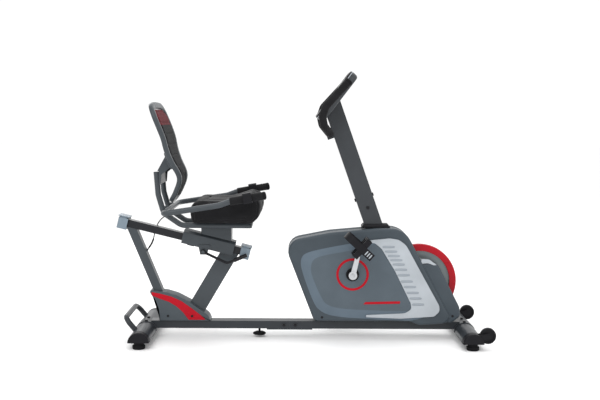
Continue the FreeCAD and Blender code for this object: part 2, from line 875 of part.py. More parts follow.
def rail_brackets():
    """Folded brackets round both ends of the rail: two cheeks, a floor and an end wall, with a lid above."""
    brackets = []
    for name, offset, sign in (("rear", 0, -1), ("front", cell.rail_length, 1)):
        half = cell.rail_bracket_length / 2
        width = cell.rail_bracket_width / 2
        low = -cell.rail_bracket_height / 2
        top = cell.rail_bracket_height / 2
        wall = 3
        cup = new_body(name + "_rail_cup")
        sketch = new_sketch(cup, "YZ")
        draw_outline(sketch, [(-width, low), (width, low), (width, top - 9), (width - wall, top - 9),
                              (width - wall, low + wall), (-width + wall, low + wall),
                              (-width + wall, top - 9), (-width, top - 9)])
        pad(cup, sketch, 2 * half)
        rest = block(name + "_rail_rest", -half, -width + wall, low + wall, 2 * half,
                     2 * (width - wall), cell.rail_bracket_height / 2 - wall - cell.rail_height / 2)
        end_wall = block(name + "_rail_end_wall", sign * (half - wall / 2) - wall / 2, -width + wall, low + wall,
                         wall, 2 * (width - wall), 2 * top - 9 - wall)
        posts = [block(name + "_lid_post", -half + 8, side * (width - wall - 4) - 4, -5,
                       2 * half - 16, 8, top + 1) for side in (-1, 1)]
        lid = block(name + "_rail_lid", -half - 3, -width - 1, top - 4, 2 * half + 6, 2 * width + 2, 4)
        bracket = fuse(name + "_rail_bracket", [cup, rest, end_wall, lid] + posts)
        brackets.append(on_rail(bracket, offset))
    keep(group("rail_brackets", brackets))


# foot, lean, depth and width of each strut
STRUTS = {
    "rear": (cell.rear_strut_foot_x, -cell.rear_strut_lean, cell.rear_strut_depth, cell.rear_strut_width),
    "front": (cell.front_strut_foot_x, cell.front_strut_lean, cell.front_strut_depth, cell.front_strut_width),
}


def strut(label, foot_x, lean, depth, width):
    """A leaning rectangular tube from the top of the beam to the underside of the rail."""
    body = new_body(label + "_blank")
    sketch = new_sketch(body, "XY", cell.rail_rear_z / 2)
    wall = cell.tube_wall
    draw_outline(sketch, rectangle(-depth / 2, -width / 2, depth / 2, width / 2))
    draw_outline(sketch, rectangle(-depth / 2 + wall, -width / 2 + wall, depth / 2 - wall, width / 2 - wall))
    pad(body, sketch, cell.rail_rear_z * 1.4)
    place(body, foot_x, 0, cell.beam_top, tilt=lean)
    reach = 900
    below = slab(label + "_beam_side", "XZ",
                 [rectangle(foot_x - reach, cell.beam_top - reach, foot_x + reach, cell.beam_top)], 0, 200)
    rail_under, cup_under = -cell.rail_height / 2, -cell.rail_bracket_height / 2
    cup_end = cell.rail_bracket_length / 2
    above = slab(label + "_rail_side", "XZ",
                 [[(-reach, cup_under), (cup_end, cup_under), (cup_end, rail_under),
                   (cell.rail_length + reach, rail_under), (cell.rail_length + reach, reach), (-reach, reach)]],
                 0, 200)
    return cut(label, cut(label + "_foot_cut", body, below), on_rail(above))


def rail_struts():
    struts = {name: strut(name + "_strut", *sizes) for name, sizes in STRUTS.items()}
    gland = cord_gland("strut_gland", CORD_ROUTE[-1], CORD_ROUTE[-2])
    struts["rear"] = fuse("rear_strut_with_gland", [struts["rear"], gland])
    keep(group("rail_struts", list(struts.values())))


def shroud_form(label, inset):
    """The right half of the shroud's outside, drawn in by an inset, on the middle plane."""
    rear, front = cell.rear_strut_foot_x - 43 + inset, cell.front_strut_foot_x + 104 - inset
    low, high = cell.shroud_bottom, cell.shroud_bottom + cell.shroud_height - inset
    half = cell.shroud_half_width - inset
    outline = [(rear, low), (front, low), (front - 4, low + 24, 250), (rear + 19, high),
               (rear - 54, high, -330)]
    return slab(label, "XZ", [outline], -half / 2, half)


def strut_room(name, foot_x, lean, depth, width):
    """The hole that a strut leaves in the shroud, with a small gap all round it."""
    gap = cell.strut_gap
    tool = new_body(name + "_strut_room")
    sketch = new_sketch(tool, "XY", cell.shroud_height)
    draw_outline(sketch, rectangle(-depth / 2 - gap, -width / 2 - gap, depth / 2 + gap, width / 2 + gap))
    pad(tool, sketch, 3 * cell.shroud_height)
    return place(tool, foot_x, 0, cell.beam_top, tilt=lean)


def strut_shroud():
    """Two plastic half shells round the feet of the struts, open underneath and towards each other."""
    inside = shroud_form("shroud_inside", cell.shell_wall)
    floor_depth = 2 * cell.shell_wall
    floor = block("shroud_floor_room", cell.rear_strut_foot_x - 36, -cell.shroud_half_width + cell.shell_wall,
                  cell.shroud_bottom - floor_depth, 218, cell.shroud_half_width, 2 * floor_depth)
    rooms = [strut_room(name, *sizes) for name, sizes in STRUTS.items()]
    right = cut("rear_shroud_right", shroud_form("shroud_outside", as_size(0)),
                fuse("shroud_rooms", [inside, floor] + rooms))
    keep(right)
    keep(mirrored("rear_shroud_left", right))


# ------------------------------------------------------------------------------------------------
# Casing round the drive
# ------------------------------------------------------------------------------------------------

def casing_outline():
    """The side view of the main casing shell, counter-clockwise from its lowest rear corner."""
    low, high, rear = cell.casing_bottom, cell.casing_top, cell.casing_rear_x
    return [(rear + 143, low), (rear + 583, low), (rear + 625, low - 18), (rear + 738, low - 10),
            (rear + 774, low + 10), (rear + 550, high), (rear + 430, high), (rear + 212, high - 20),
            (rear, high - 62)]


CORNER_ROUNDING = {0: 28, 4: 34, 5: 105, 8: 62}


def casing_form(label, half_width, corners):
    """A rounded solid in the casing's side view, on the right of the middle plane."""
    form = slab(label, "XZ", [corners], -half_width / 2, half_width)
    for index, radius in CORNER_ROUNDING.items():
        round_edges(form, radius, along("y", near=[corners[index]]))
    return form


def guard_form():
    """The lower, recessed side guard beside the flywheel."""
    rear, low = cell.casing_rear_x, cell.casing_bottom
    width = cell.casing_half_width - cell.guard_recess
    corners = [(rear + 620, low - 16), (rear + 775, low - 2), (rear + 812, low + 14), (rear + 810, low + 60),
               (rear + 704, low + 262), (rear + 610, low + 276), (rear + 560, low + 250)]
    form = slab("guard_form", "XZ", [corners], -width / 2, width)
    for index, radius in ((1, 20), (2, 14), (4, 24)):
        round_edges(form, radius, along("y", near=[corners[index]]))
    return form


def flywheel_room(label, half_width):
    """The space that the flywheel turns in."""
    return slab(label, "XZ", [], 0, 2 * half_width, [(cell.flywheel_x, cell.flywheel_z, cell.flywheel_radius + 8)])


def mast_room(label, gap):
    """The space of the mast, grown by a gap."""
    half = cell.mast_depth / 2 + gap
    return on_mast(slab(label, "XZ", [rectangle(-half, -120, half, 180)], 0, cell.mast_width + 2 * gap))


def on_mast(piece, height=0):
    """Place a piece that is drawn along the mast: Z up the mast and X square to it."""
    height = as_size(height)
    return place(piece, cell.mast_x - height * sine(cell.mast_lean), 0,
                 cell.mast_z + height * cosine(cell.mast_lean), tilt=-cell.mast_lean)


def casing_shells():
    """Right and left shells.  Each is a main shell and the guard beside the flywheel, moulded in one."""
    corners = casing_outline()
    main = hollow(casing_form("casing_main", cell.casing_half_width, corners), cell.shell_wall, on_middle_plane)
    guard = hollow(guard_form(), cell.shell_wall, on_middle_plane)
    outside = cut("guard_outside_main", guard, casing_form("casing_solid", cell.casing_half_width, corners))
    rim_room = flywheel_room("flywheel_room", cell.frame_plate_y - 1)
    floor_room = block("floor_room", cell.casing_rear_x + 190, -34, cell.beam_top - 20, 560, 34, 60)
    shaft_room = slab("crank_room", "XZ", [], 0, 400, [(cell.crank_x, cell.crank_z, cell.hub_plate_radius + 1)])
    rooms = fuse("casing_rooms", [rim_room, floor_room, shaft_room, mast_room("mast_opening", 1)])
    right = cut("casing_right_shell", fuse("casing_moulding", [main, outside]), rooms)
    keep(right)
    keep(mirrored("casing_left_shell", right))


def trim_bands():
    """The J-shaped silver trim on each side of the casing."""
    rear, low = cell.casing_rear_x, cell.casing_bottom
    outline = [(rear + 389, low + 371), (rear + 440, low + 345), (rear + 509, low + 235), (rear + 580, low + 88),
               (rear + 585, low + 60), (rear + 558, low + 39), (rear + 398, low + 31), (rear + 385, low + 24),
               (rear + 536, low + 16), (rear + 691, low + 28), (rear + 713, low + 51), (rear + 713, low + 75),
               (rear + 647, low + 194), (rear + 548, low + 359), (rear + 525, low + 377), (rear + 484, low + 384)]
    middle = -(cell.casing_half_width + cell.trim_thickness / 2)
    right = slab("trim_band_right", "XZ", [outline], middle, cell.trim_thickness)
    keep(group("trim_bands", [right, mirrored("trim_band_left", right)]))


def mast_collar():
    """The black collar that closes the top of the casing round the mast."""
    reach = 16
    top = cell.casing_top
    outer = block("collar_blank", cell.mast_x - cell.mast_depth / 2 - reach - 12, -cell.mast_width / 2 - reach,
                  top + 0.2, cell.mast_depth + 2 * reach + 16, cell.mast_width + 2 * reach, 16)
    rounded = doc.addObject("Part::Chamfer", "collar_bevel")
    rounded.Base = outer
    doc.recompute()
    rims = [index + 1 for index, edge in enumerate(outer.Shape.Edges)
            if edge.BoundBox.ZMin > top.value + 15 and edge.BoundBox.ZLength < 0.01]
    rounded.Edges = [(index, 10.0, 8.0) for index in rims]
    keep(cut("mast_collar", rounded, mast_room("collar_opening", 0.5)))


# ------------------------------------------------------------------------------------------------
# Drive: frame plates, crank, belt, flywheel and brake
# ------------------------------------------------------------------------------------------------

PLATE_OUTER_Y = cell.frame_plate_y + cell.frame_plate_wall


def drive_frame():
    """The weldment on the beam that holds the crank, the flywheel and the foot of the mast."""
    crank_x, crank_z = cell.crank_x, cell.crank_z
    axle_x, axle_z = cell.flywheel_x, cell.flywheel_z
    foot = cell.beam_top
    outline = [(crank_x - 80, foot), (axle_x + 40, foot), (axle_x + 34, axle_z + 18), (axle_x - 20, axle_z + 38),
               (cell.mast_x + 70, cell.mast_z - 90), (cell.mast_x + 46, cell.mast_z - 16),
               (cell.mast_x - 38, cell.mast_z - 16), (crank_x + 40, crank_z + 62), (crank_x - 24, crank_z + 34),
               (crank_x - 40, crank_z)]
    window = [(crank_x - 22, foot + 30), (axle_x - 60, foot + 30), (axle_x - 74, axle_z - 60),
              (crank_x + 34, crank_z - 60)]
    holes = [(crank_x, crank_z, cell.crank_tube_radius), (axle_x, axle_z, cell.flywheel_bearing_radius)]
    plates = []
    for sign in (-1, 1):
        middle = sign * (cell.frame_plate_y + cell.frame_plate_wall / 2)
        plates.append(slab("frame_plate", "XZ", [outline, window], middle, cell.frame_plate_wall, holes))
    base = slab("frame_base", "XY", [rectangle(crank_x - 80, -PLATE_OUTER_Y, axle_x + 40, PLATE_OUTER_Y)],
                foot + 2, 4)
    tube_length = 2 * (PLATE_OUTER_Y + 2)
    tube = slab("crank_tube", "XZ", [], 0, tube_length,
                [(crank_x, crank_z, cell.crank_tube_radius), (crank_x, crank_z, cell.crank_bearing_radius)])
    socket_half = cell.mast_depth / 2 - 3
    socket = on_mast(slab("mast_socket", "XZ", [rectangle(-socket_half, -95, socket_half, -14)], 0,
                          2 * cell.frame_plate_y))
    stub_half = cell.mast_depth / 2 - cell.tube_wall - cell.moving_gap
    stub = on_mast(slab("mast_stub", "XZ", [rectangle(-stub_half, -14, stub_half, cell.mast_stub_height)], 0,
                        cell.mast_width - 2 * cell.tube_wall - 2 * cell.moving_gap))
    core = on_mast(slab("mast_stub_bore", "XZ",
                        [rectangle(-stub_half + 4, -100, stub_half - 4, cell.mast_stub_height + 5)], 0,
                        cell.mast_width - 2 * cell.tube_wall - 9))
    keep(drill("drive_frame", cut("drive_blank", fuse("drive_weldment", plates + [base, tube, socket, stub]), core)))


def bearing(label, x, z, bore, outer, middle_y):
    """A bearing drawn as one closed ring."""
    ring = slab(label, "XZ", [], middle_y, cell.bearing_width, [(x, z, outer), (x, z, bore)])
    return ring


def bearings():
    """Crank bearings in the crank tube, and flywheel bearings in the frame plates."""
    middle = PLATE_OUTER_Y + 2 - cell.bearing_width / 2
    pieces = []
    for sign in (-1, 1):
        pieces.append(bearing("crank_bearing", cell.crank_x, cell.crank_z, cell.spindle_radius + cell.running_gap,
                              cell.crank_bearing_radius, sign * middle))
        pieces.append(bearing("axle_bearing", cell.flywheel_x, cell.flywheel_z,
                              cell.flywheel_axle_radius + cell.running_gap, cell.flywheel_bearing_radius,
                              sign * (cell.frame_plate_y + cell.frame_plate_wall / 2)))
    keep(group("bearings", pieces))


def crank():
    """Spindle, hub plates, arms and pedal spindles: everything that the rider turns."""
    shaft_end = cell.crank_inner_y + cell.crank_thickness + 4
    profile = [(0, -shaft_end), (cell.spindle_radius, -shaft_end), (cell.spindle_radius, shaft_end), (0, shaft_end)]
    spindle = place(turned("crank_spindle", "XY", profile), cell.crank_x, 0, cell.crank_z)
    plate_y = cell.casing_half_width - cell.shell_wall / 2
    plate = slab("hub_plate_right", "XZ", [], -plate_y, 4, [(0, 0, cell.hub_plate_radius), (0, 0, cell.spindle_radius)])
    plates = [place(plate, cell.crank_x, 0, cell.crank_z)]
    plates.append(mirrored("hub_plate_left", plate))
    keep(group("crank_hub_plates", plates))
    arms = []
    pins = []
    for name, sign, turn in (("right", -1, cell.crank_lean), ("left", 1, cell.crank_lean + 180)):
        arms.append(place(crank_arm(name, sign), cell.crank_x, 0, cell.crank_z, tilt=turn))
        pins.append(place(pedal_spindle(name, sign), cell.crank_x, 0, cell.crank_z, tilt=turn))
    keep(group("crank_arms", arms))
    keep(group("crank_shafts", [spindle] + pins))


def crank_arm(name, sign):
    """A forged arm along +Z with a boss at each end."""
    middle = sign * (cell.crank_inner_y + cell.crank_thickness / 2)
    boss, eye = cell.crank_boss_radius, 14
    length = cell.crank_length
    arm = slab("arm_bar_" + name, "XZ",
               [[(-12, 0), (12, 0), (9, length), (-9, length)]], middle, cell.crank_thickness - 5)
    big_end = slab("arm_boss_" + name, "XZ", [], middle, cell.crank_thickness, [(0, 0, boss)])
    small_end = slab("arm_eye_" + name, "XZ", [], middle, cell.crank_thickness - 2, [(0, length, eye)])
    bore = slab("arm_bore_" + name, "XZ", [], middle, 3 * cell.crank_thickness,
                [(0, 0, cell.spindle_radius), (0, length, cell.pedal_spindle_radius)])
    return cut("crank_arm_" + name, fuse("arm_blank_" + name, [arm, big_end, small_end]), bore)


def pedal_spindle(name, sign):
    """The pin that a pedal turns on, screwed into the arm's eye."""
    start = cell.crank_inner_y
    end = cell.pedal_inner_y + cell.pedal_width - 12
    return slab("pedal_spindle_" + name, "XZ", [], sign * (start + end) / 2, end - start,
                [(0, cell.crank_length, cell.pedal_spindle_radius)])


def pedal(name, sign):
    """A pedal platform with four windows, and its strap arched over the top."""
    half, width, thick = cell.pedal_length / 2, cell.pedal_width, cell.pedal_thickness
    middle = sign * (cell.pedal_inner_y + width / 2)
    inner_y, outer_y = middle - width / 2, middle + width / 2
    body = new_body("pedal_body_" + name)
    sketch = new_sketch(body, "XY")
    rim, barrel = 12, 13
    draw_outline(sketch, rectangle(-half, inner_y, half, outer_y))
    for low, high in ((-half + rim, -barrel), (barrel, half - rim)):
        for start in (inner_y + rim, middle + rim / 2):
            draw_outline(sketch, rectangle(low, start, high, start + width / 2 - 1.5 * rim))
    pad(body, sketch, thick)
    bore = cell.pedal_spindle_radius + cell.running_gap
    cut_through(body, "XZ", circles=[(0, 0, bore)], middle=middle, length=width + 4)
    top = thick / 2
    wall = cell.strap_thickness
    leg = top + cell.strap_height - width / 2
    bow = width / 2 * 1.01
    tail = -top - cell.strap_tail
    inner_end = cell.pedal_spindle_radius + 1.5
    ends = (tail, inner_end) if sign < 0 else (inner_end, tail)
    strap = new_body("pedal_strap_" + name)
    sketch = new_sketch(strap, "YZ")
    draw_outline(sketch, [(outer_y + wall, ends[1]), (outer_y + wall, leg, bow + wall), (inner_y - wall, leg),
                          (inner_y - wall, ends[0]), (inner_y, ends[0]), (inner_y, leg, -bow), (outer_y, leg),
                          (outer_y, ends[1])])
    pad(strap, sketch, cell.strap_width)
    return group("pedal_" + name, [body, strap])


def pedals():
    for name, sign, turn in (("right", -1, cell.crank_lean), ("left", 1, cell.crank_lean + 180)):
        x = cell.crank_x + cell.crank_length * sine(turn)
        z = cell.crank_z + cell.crank_length * cosine(turn)
        keep(place(pedal(name, sign), x, 0, z, tilt=-cell.pedal_tilt))


PULLEY_HALF_WIDTH = cell.belt_width / 2 + 2


def belt_drive():
    """The big pulley on the crank, and the belt that runs from it to the flywheel's axle."""
    half = PULLEY_HALF_WIDTH
    groove = cell.drive_pulley_radius
    rim = groove - 14
    profile = [(cell.spindle_radius, cell.belt_y - 9), (26, cell.belt_y - 9), (26, cell.belt_y - 2),
               (rim, cell.belt_y - 2), (rim, cell.belt_y - half), (groove, cell.belt_y - half),
               (groove, cell.belt_y + half), (rim, cell.belt_y + half), (rim, cell.belt_y + 2),
               (26, cell.belt_y + 2), (26, cell.belt_y + 7), (cell.spindle_radius, cell.belt_y + 7)]
    keep(place(turned("drive_pulley", "XY", profile), cell.crank_x, 0, cell.crank_z))
    keep(drive_belt())


def belt_loop(centres, radii):
    """The closed line round two pulleys: two arcs and the two straight runs between them."""
    across = centres[1] - centres[0]
    heading = math.atan2(across.z, across.x)
    lead = math.acos((radii[0] - radii[1]) / across.Length)

    def spot(index, angle):
        return centres[index] + Vector(math.cos(angle), 0, math.sin(angle)) * radii[index]
    upper, lower = heading + lead, heading - lead
    edges = [Part.Arc(spot(0, upper), spot(0, heading + math.pi), spot(0, lower)).toShape(),
             Part.LineSegment(spot(0, lower), spot(1, lower)).toShape(),
             Part.Arc(spot(1, lower), spot(1, heading), spot(1, upper)).toShape(),
             Part.LineSegment(spot(1, upper), spot(0, upper)).toShape()]
    return Part.Face(Part.Wire(edges))


def drive_belt():
    """A flat loop just clear of both pulleys.  Its shape is set from the sheet's values."""
    gap = 0.3
    start = cell.belt_y.value - cell.belt_width.value / 2
    centres = [Vector(cell.crank_x.value, start, cell.crank_z.value),
               Vector(cell.flywheel_x.value, start, cell.flywheel_z.value)]
    inner = [cell.drive_pulley_radius.value + gap, cell.flywheel_pulley_radius.value + gap]
    outer = [radius + cell.belt_thickness.value for radius in inner]
    face = belt_loop(centres, outer).cut(belt_loop(centres, inner))
    belt = doc.addObject("Part::Feature", "drive_belt")
    belt.Label = "drive_belt"
    belt.Shape = face.extrude(Vector(0, cell.belt_width.value, 0))
    belt.Placement = Placement()
    return belt


def flywheel():
    """Axle with its pulley, steel disc and red rim, which turn together in the plate bearings."""
    axle, pulley = cell.flywheel_axle_radius, cell.flywheel_pulley_radius
    end_near, end_far = -(PLATE_OUTER_Y + 4), cell.belt_y + PULLEY_HALF_WIDTH
    step = cell.belt_y - PULLEY_HALF_WIDTH
    profile = [(0, end_near), (axle, end_near), (axle, step), (pulley, step), (pulley, end_far), (0, end_far)]
    keep(place(turned("flywheel_axle", "XY", profile), cell.flywheel_x, 0, cell.flywheel_z))
    rim, outer = cell.flywheel_rim_inner, cell.flywheel_radius
    web, hub_face = 3, 6
    half = cell.flywheel_rim_width / 2
    hub, hub_end, plate = 24, half + 9, rim - 38
    disc = [(axle, -hub_end), (hub, -hub_end), (hub, -hub_face), (plate, -hub_face), (plate + 4, -web),
            (rim, -web), (rim, web), (plate + 4, web), (plate, hub_face), (hub, hub_face),
            (hub, hub_end), (axle, hub_end)]
    keep(place(turned("flywheel_disc", "XY", disc), cell.flywheel_x, 0, cell.flywheel_z))
    ring = turned("flywheel_rim", "XY", rectangle(rim, -half, outer, half))
    round_edges(ring, 7, lambda edge: edge.BoundBox.XMax > outer.value - 0.01)
    keep(place(ring, cell.flywheel_x, 0, cell.flywheel_z))


def brake():
    """A curved magnet bracket that swings towards the flywheel, and the small motor that pulls it."""
    inner = cell.flywheel_radius + cell.magnet_gap
    outer = inner + cell.magnet_bracket_wall
    half = cell.flywheel_rim_width / 2 + 2
    bracket = turned("magnet_bracket", "XY", rectangle(-outer, -half, -inner, half), cell.magnet_bracket_angle)
    keep(place(bracket, cell.flywheel_x, 0, cell.flywheel_z))
    motor_x, motor_z = cell.crank_x - 66, cell.beam_top + 4
    case = block("motor_case", motor_x, -22, motor_z, 46, 40, 34)
    drum = rod("motor_drum", motor_x + 23, -14, motor_z + 34, 11, 20, "y")
    keep(fuse("brake_motor", [case, drum]))


# ------------------------------------------------------------------------------------------------
# Mast, console and its handlebar
# ------------------------------------------------------------------------------------------------

def on_console(piece):
    """Place a piece drawn on the console: X up its face and Z out of the face."""
    return place(piece, cell.console_x, 0, cell.console_z, tilt=-cell.console_tilt)


def console_back_room(label):
    """Everything on the rider's side of the console's back, which the mast's top is cut to."""
    reach = 420
    return on_console(slab(label, "XZ", [rectangle(-reach, -cell.console_depth, reach, reach)], 0, 300))


def mast():
    """Upper mast: a rectangular tube over the stub, cut off square to the console's back."""
    half, side, wall = cell.mast_depth / 2, cell.mast_width / 2, cell.tube_wall
    body = new_body("mast_blank")
    sketch = new_sketch(body, "XY", (cell.mast_length + 60) / 2 - 6)
    draw_outline(sketch, rectangle(-half, -side, half, side))
    draw_outline(sketch, rectangle(-half + wall, -side + wall, half - wall, side - wall))
    pad(body, sketch, cell.mast_length + 60)
    on_mast(body)
    keep(drill("mast", cut("mast_trimmed", body, console_back_room("mast_top_room"))))


def console_profile(back):
    """Side view of the console's back shell: from its lower end down, along the back and round the top."""
    length = cell.console_length
    return [(0, 0), (10, back + 8), (40, back), (length - 40, back), (length, back + 2),
            (length + 6, back + 12), (length, 0)]


def on_face_plane(face):
    return abs(face.CenterOfMass.z) < 0.01


def console():
    """Back shell, face, screen and the buttons under it."""
    corners = console_profile(-cell.console_depth)
    back = slab("console_back_shell", "XZ", [corners], 0, cell.console_width)
    round_edges(back, 8, along("y", near=[corners[1], corners[5]]))
    keep(on_console(hollow(back, cell.console_wall, on_face_plane)))
    wall = cell.console_face_wall
    length, half = cell.console_length, cell.console_width / 2
    face = new_body("console_face")
    sketch = new_sketch(face, "XY", wall / 2)
    draw_outline(sketch, rectangle(0, -half, length, half))
    screen = rectangle(length / 2 - 12, -half + 36, length - 26, half - 36)
    draw_outline(sketch, screen)
    button_x = length / 4 + 4
    hole = cell.button_radius + 0.3
    centres = [(button_x, (index - 1.5) * cell.button_pitch) for index in range(4)]
    for x, y in centres:
        draw_circle(sketch, x, y, hole)
    pad(face, sketch, wall)
    keep(on_console(face))
    glass = new_body("console_screen")
    sketch = new_sketch(glass, "XY", wall - 3)
    draw_outline(sketch, rectangle(length / 2 - 12, -half + 36, length - 26, half - 36))
    pad(glass, sketch, 3)
    keep(on_console(glass))
    names = ("start", "down", "up", "enter")
    for name, (x, y) in zip(names, centres):
        button = new_body("button_" + name)
        sketch = new_sketch(button, "XY", wall + cell.button_height - 4.5)
        draw_circle(sketch, x, y, cell.button_radius)
        pad(button, sketch, 9)
        keep(on_console(button))


def console_bar_points():
    """The right half of the console handlebar, from the mast out and up beside the console."""
    lean = cell.mast_lean
    reach = -(cell.mast_depth / 2 + cell.bar_radius + cell.clamp_wall)
    x = cell.mast_x - cell.console_bar_height * sine(lean) + reach * cosine(lean)
    z = cell.mast_z + cell.console_bar_height * cosine(lean) + reach * sine(lean)
    half = cell.console_bar_half_width
    grip = cell.console_bar_grip_length
    tilt = 47.5
    corner = (x - 24, -half, z + 122)
    tip = (corner[0] + grip * cosine(tilt), -half, corner[2] + grip * sine(tilt))
    return [(x, 0, z), (x, -half * 0.52, z), (x - 30, -half * 0.9, z + 38), (x - 38, -half, z + 80), corner, tip]


def console_handlebar():
    """One tube bent to both sides, held to the mast by a clamp, with foam over both arms."""
    right = console_bar_points()
    left = [(x, -y, z) for x, y, z in reversed(right[1:])]
    whole = [(x, y, z) for x, y, z in reversed(right[1:])]
    tube = bent_tube("console_bar", whole + left[::-1], 30, cell.bar_radius, cell.tube_wall)
    clamp = slab("console_clamp", "XZ", [rectangle(-cell.mast_depth / 2 - 30, cell.console_bar_height - 24,
                                                   -cell.mast_depth / 2, cell.console_bar_height + 24)],
                 0, cell.mast_width)
    on_mast(clamp)
    bore = bent_tube("console_clamp_bore", [right[1], (right[1][0], -right[1][1], right[1][2])], 0,
                     cell.bar_radius)
    keep(group("console_handlebar", [tube, cut("console_bar_clamp", clamp, bore)]))
    start = (right[0][0], -cell.console_bar_half_width * 0.36, right[0][2])
    grips = bent_tube("console_grip_right", [start] + right[1:], 30, cell.bar_radius + cell.foam_wall,
                      cell.foam_wall)
    keep(group("console_grips", [grips, mirrored("console_grip_left", grips)]))


# ------------------------------------------------------------------------------------------------
# Seat carriage
# ------------------------------------------------------------------------------------------------

def on_carriage(piece):
    return on_rail(piece, cell.carriage_offset)


def carriage():
    """The housing that rides over the rail, its rollers, and the brake shoe that locks it."""
    half, wall = cell.carriage_half_width, cell.carriage_wall
    low, rise, roof = -cell.carriage_skirt, cell.carriage_rise, cell.carriage_roof
    housing = new_body("carriage_channel")
    sketch = new_sketch(housing, "YZ")
    draw_outline(sketch, [(-half, low), (-half + wall, low), (-half + wall, rise - 2), (-half + 18, roof - wall),
                          (half - 18, roof - wall), (half - wall, rise - 2), (half - wall, low), (half, low),
                          (half, rise), (half - 17, roof), (-half + 17, roof), (-half, rise)])
    pad(housing, sketch, cell.carriage_length)
    keep(fuse("carriage_housing", [on_carriage(housing)] + lever_mount()))
    radius = cell.roller_radius
    roller_z = cell.rail_height / 2 + 0.3 + radius
    span = cell.carriage_length / 2 - 24
    rollers = [rod("carriage_roller", sign * span, -half + wall + 12, roller_z, radius, 2 * (half - wall - 12), "y")
               for sign in (-1, 1)]
    for side in (-1, 1):
        near = cell.rail_width / 2 + 0.3
        y = near if side > 0 else -(half - wall)
        rollers.append(block("slide_pad", -span, y, -10, 2 * span, half - wall - near, 18))
    keep(on_carriage(group("carriage_rollers", rollers)))
    shoe = slab("lock_shoe", "YZ", [rectangle(-half + wall + 6, -cell.rail_height / 2 - 12, -cell.front_strut_width / 2
                                              - 2, -cell.rail_height / 2 - 0.3)], -span + 20, 30)
    keep(on_carriage(shoe))


def lever_mount():
    """The hanging plate on the housing's right side, with the pin that the lever turns on."""
    x, z = cell.lever_pivot_x, cell.lever_pivot_z
    start = cell.carriage_half_width
    reach = cell.lever_y + 9
    plate = slab("lever_plate", "XZ", [[(x - 15, z - 15), (x + 16, z - 15), (x + 30, z + 30), (x - 24, z + 30)]],
                 -(start + 1.5), 5)
    pivot = rod("lever_pin", x, -reach, z, cell.lever_pin_radius, reach - start, "y")
    head = rod("lever_pin_head", x, -reach - 3, z, 8, 3, "y")
    return [plate, pivot, head]


def carriage_solid(label):
    """The housing's outer form, to seat the post on."""
    half = cell.carriage_half_width + 20
    length = cell.carriage_length / 2 + 200
    return on_carriage(slab(label, "XZ", [rectangle(-length, -90, length, cell.carriage_roof)], 0, 2 * half))


def seat_post():
    """The block on the housing and the plate between the back tubes, which reaches past their middle height."""
    x, length = cell.seat_post_x, cell.seat_post_length
    plate_z, wall = cell.seat_plate_z, cell.bar_radius + cell.seat_plate_lap
    width = cell.seat_post_width
    post = slab("post_blank", "XZ", [rectangle(x - length / 2, plate_z - 120, x + length / 2, plate_z)], 0, width)
    room = slab("post_room", "XZ", [rectangle(x - length / 2 + 4, plate_z - 130, x + length / 2 - 4, plate_z - 4)],
                0, width - 8)
    trimmed = cut("post_trimmed", cut("post_tube", post, room), carriage_solid("post_seat"))
    plate = slab("seat_plate", "XY", [rectangle(x - 50, -(cell.back_tube_y - cell.bar_radius),
                                                x + 163, cell.back_tube_y - cell.bar_radius)],
                 plate_z + wall / 2, wall)
    keep(fuse("seat_post", [trimmed, plate]))


def seat_cushion():
    """The padded seat as a plain closed solid: higher at the front, rounded at its corners."""
    front, back = cell.seat_front_x, cell.seat_front_x - cell.seat_length
    low, high = cell.seat_bottom, cell.seat_bottom + cell.seat_thickness
    rise = cell.seat_front_rise
    form = slab("seat_cushion", "XZ",
                [[(back + 8, low), (front - 38, low), (front - 6, low + 30), (front, low + 90),
                  (front - 12, high + rise - 4), (front - 40, high + rise), (front - 150, high), (back + 14, high + 4),
                  (back, high - 16)]], 0, 2 * cell.seat_half_width)
    round_edges(form, 45, lambda edge: edge.BoundBox.YLength < 0.01 and edge.BoundBox.ZLength > 50
                and edge.BoundBox.XMax < back.value + 20)
    keep(form)


def back_tube_points():
    """The right back tube, from under the seat's front back and up behind the rider."""
    x, y = cell.seat_post_x, cell.back_tube_y
    floor = cell.seat_plate_z + cell.bar_radius
    return [(x + 158, -y, floor), (x - 152, -y, floor), (x - 232, -y, floor + 55), (x - 256, -y, floor + 138),
            (x - 264, -y, cell.back_tube_top)]


def back_tubes():
    """The two bent tubes that run under the seat and up behind it, with their cross plates."""
    x, y = cell.seat_post_x, cell.back_tube_y
    floor = cell.seat_plate_z + cell.bar_radius
    right = bent_tube("back_tube_right", back_tube_points(), cell.back_tube_bend, cell.bar_radius, cell.tube_wall)
    seat_bars = [slab("seat_bar", "XY", [rectangle(x + step, -y - 10, x + step + 34, y + 10)],
                      floor + cell.bar_radius + 1.5, 3) for step in (-30, 100)]
    blocks = [slab("seat_riser", "XY", [rectangle(x + step, side * y - 12, x + step + 34, side * y + 12)],
                   (floor + cell.bar_radius + 3 + cell.seat_bottom) / 2,
                   cell.seat_bottom - floor - cell.bar_radius - 3.3) for step in (-30, 100) for side in (-1, 1)]
    gland = cord_gland("back_tube_gland", CORD_ROUTE[0], CORD_ROUTE[1])
    left = fuse("back_tube_left_with_gland", [mirrored("back_tube_left", right), gland])
    keep(group("back_tubes", [right, left, backrest_bridge()] + seat_bars + blocks))


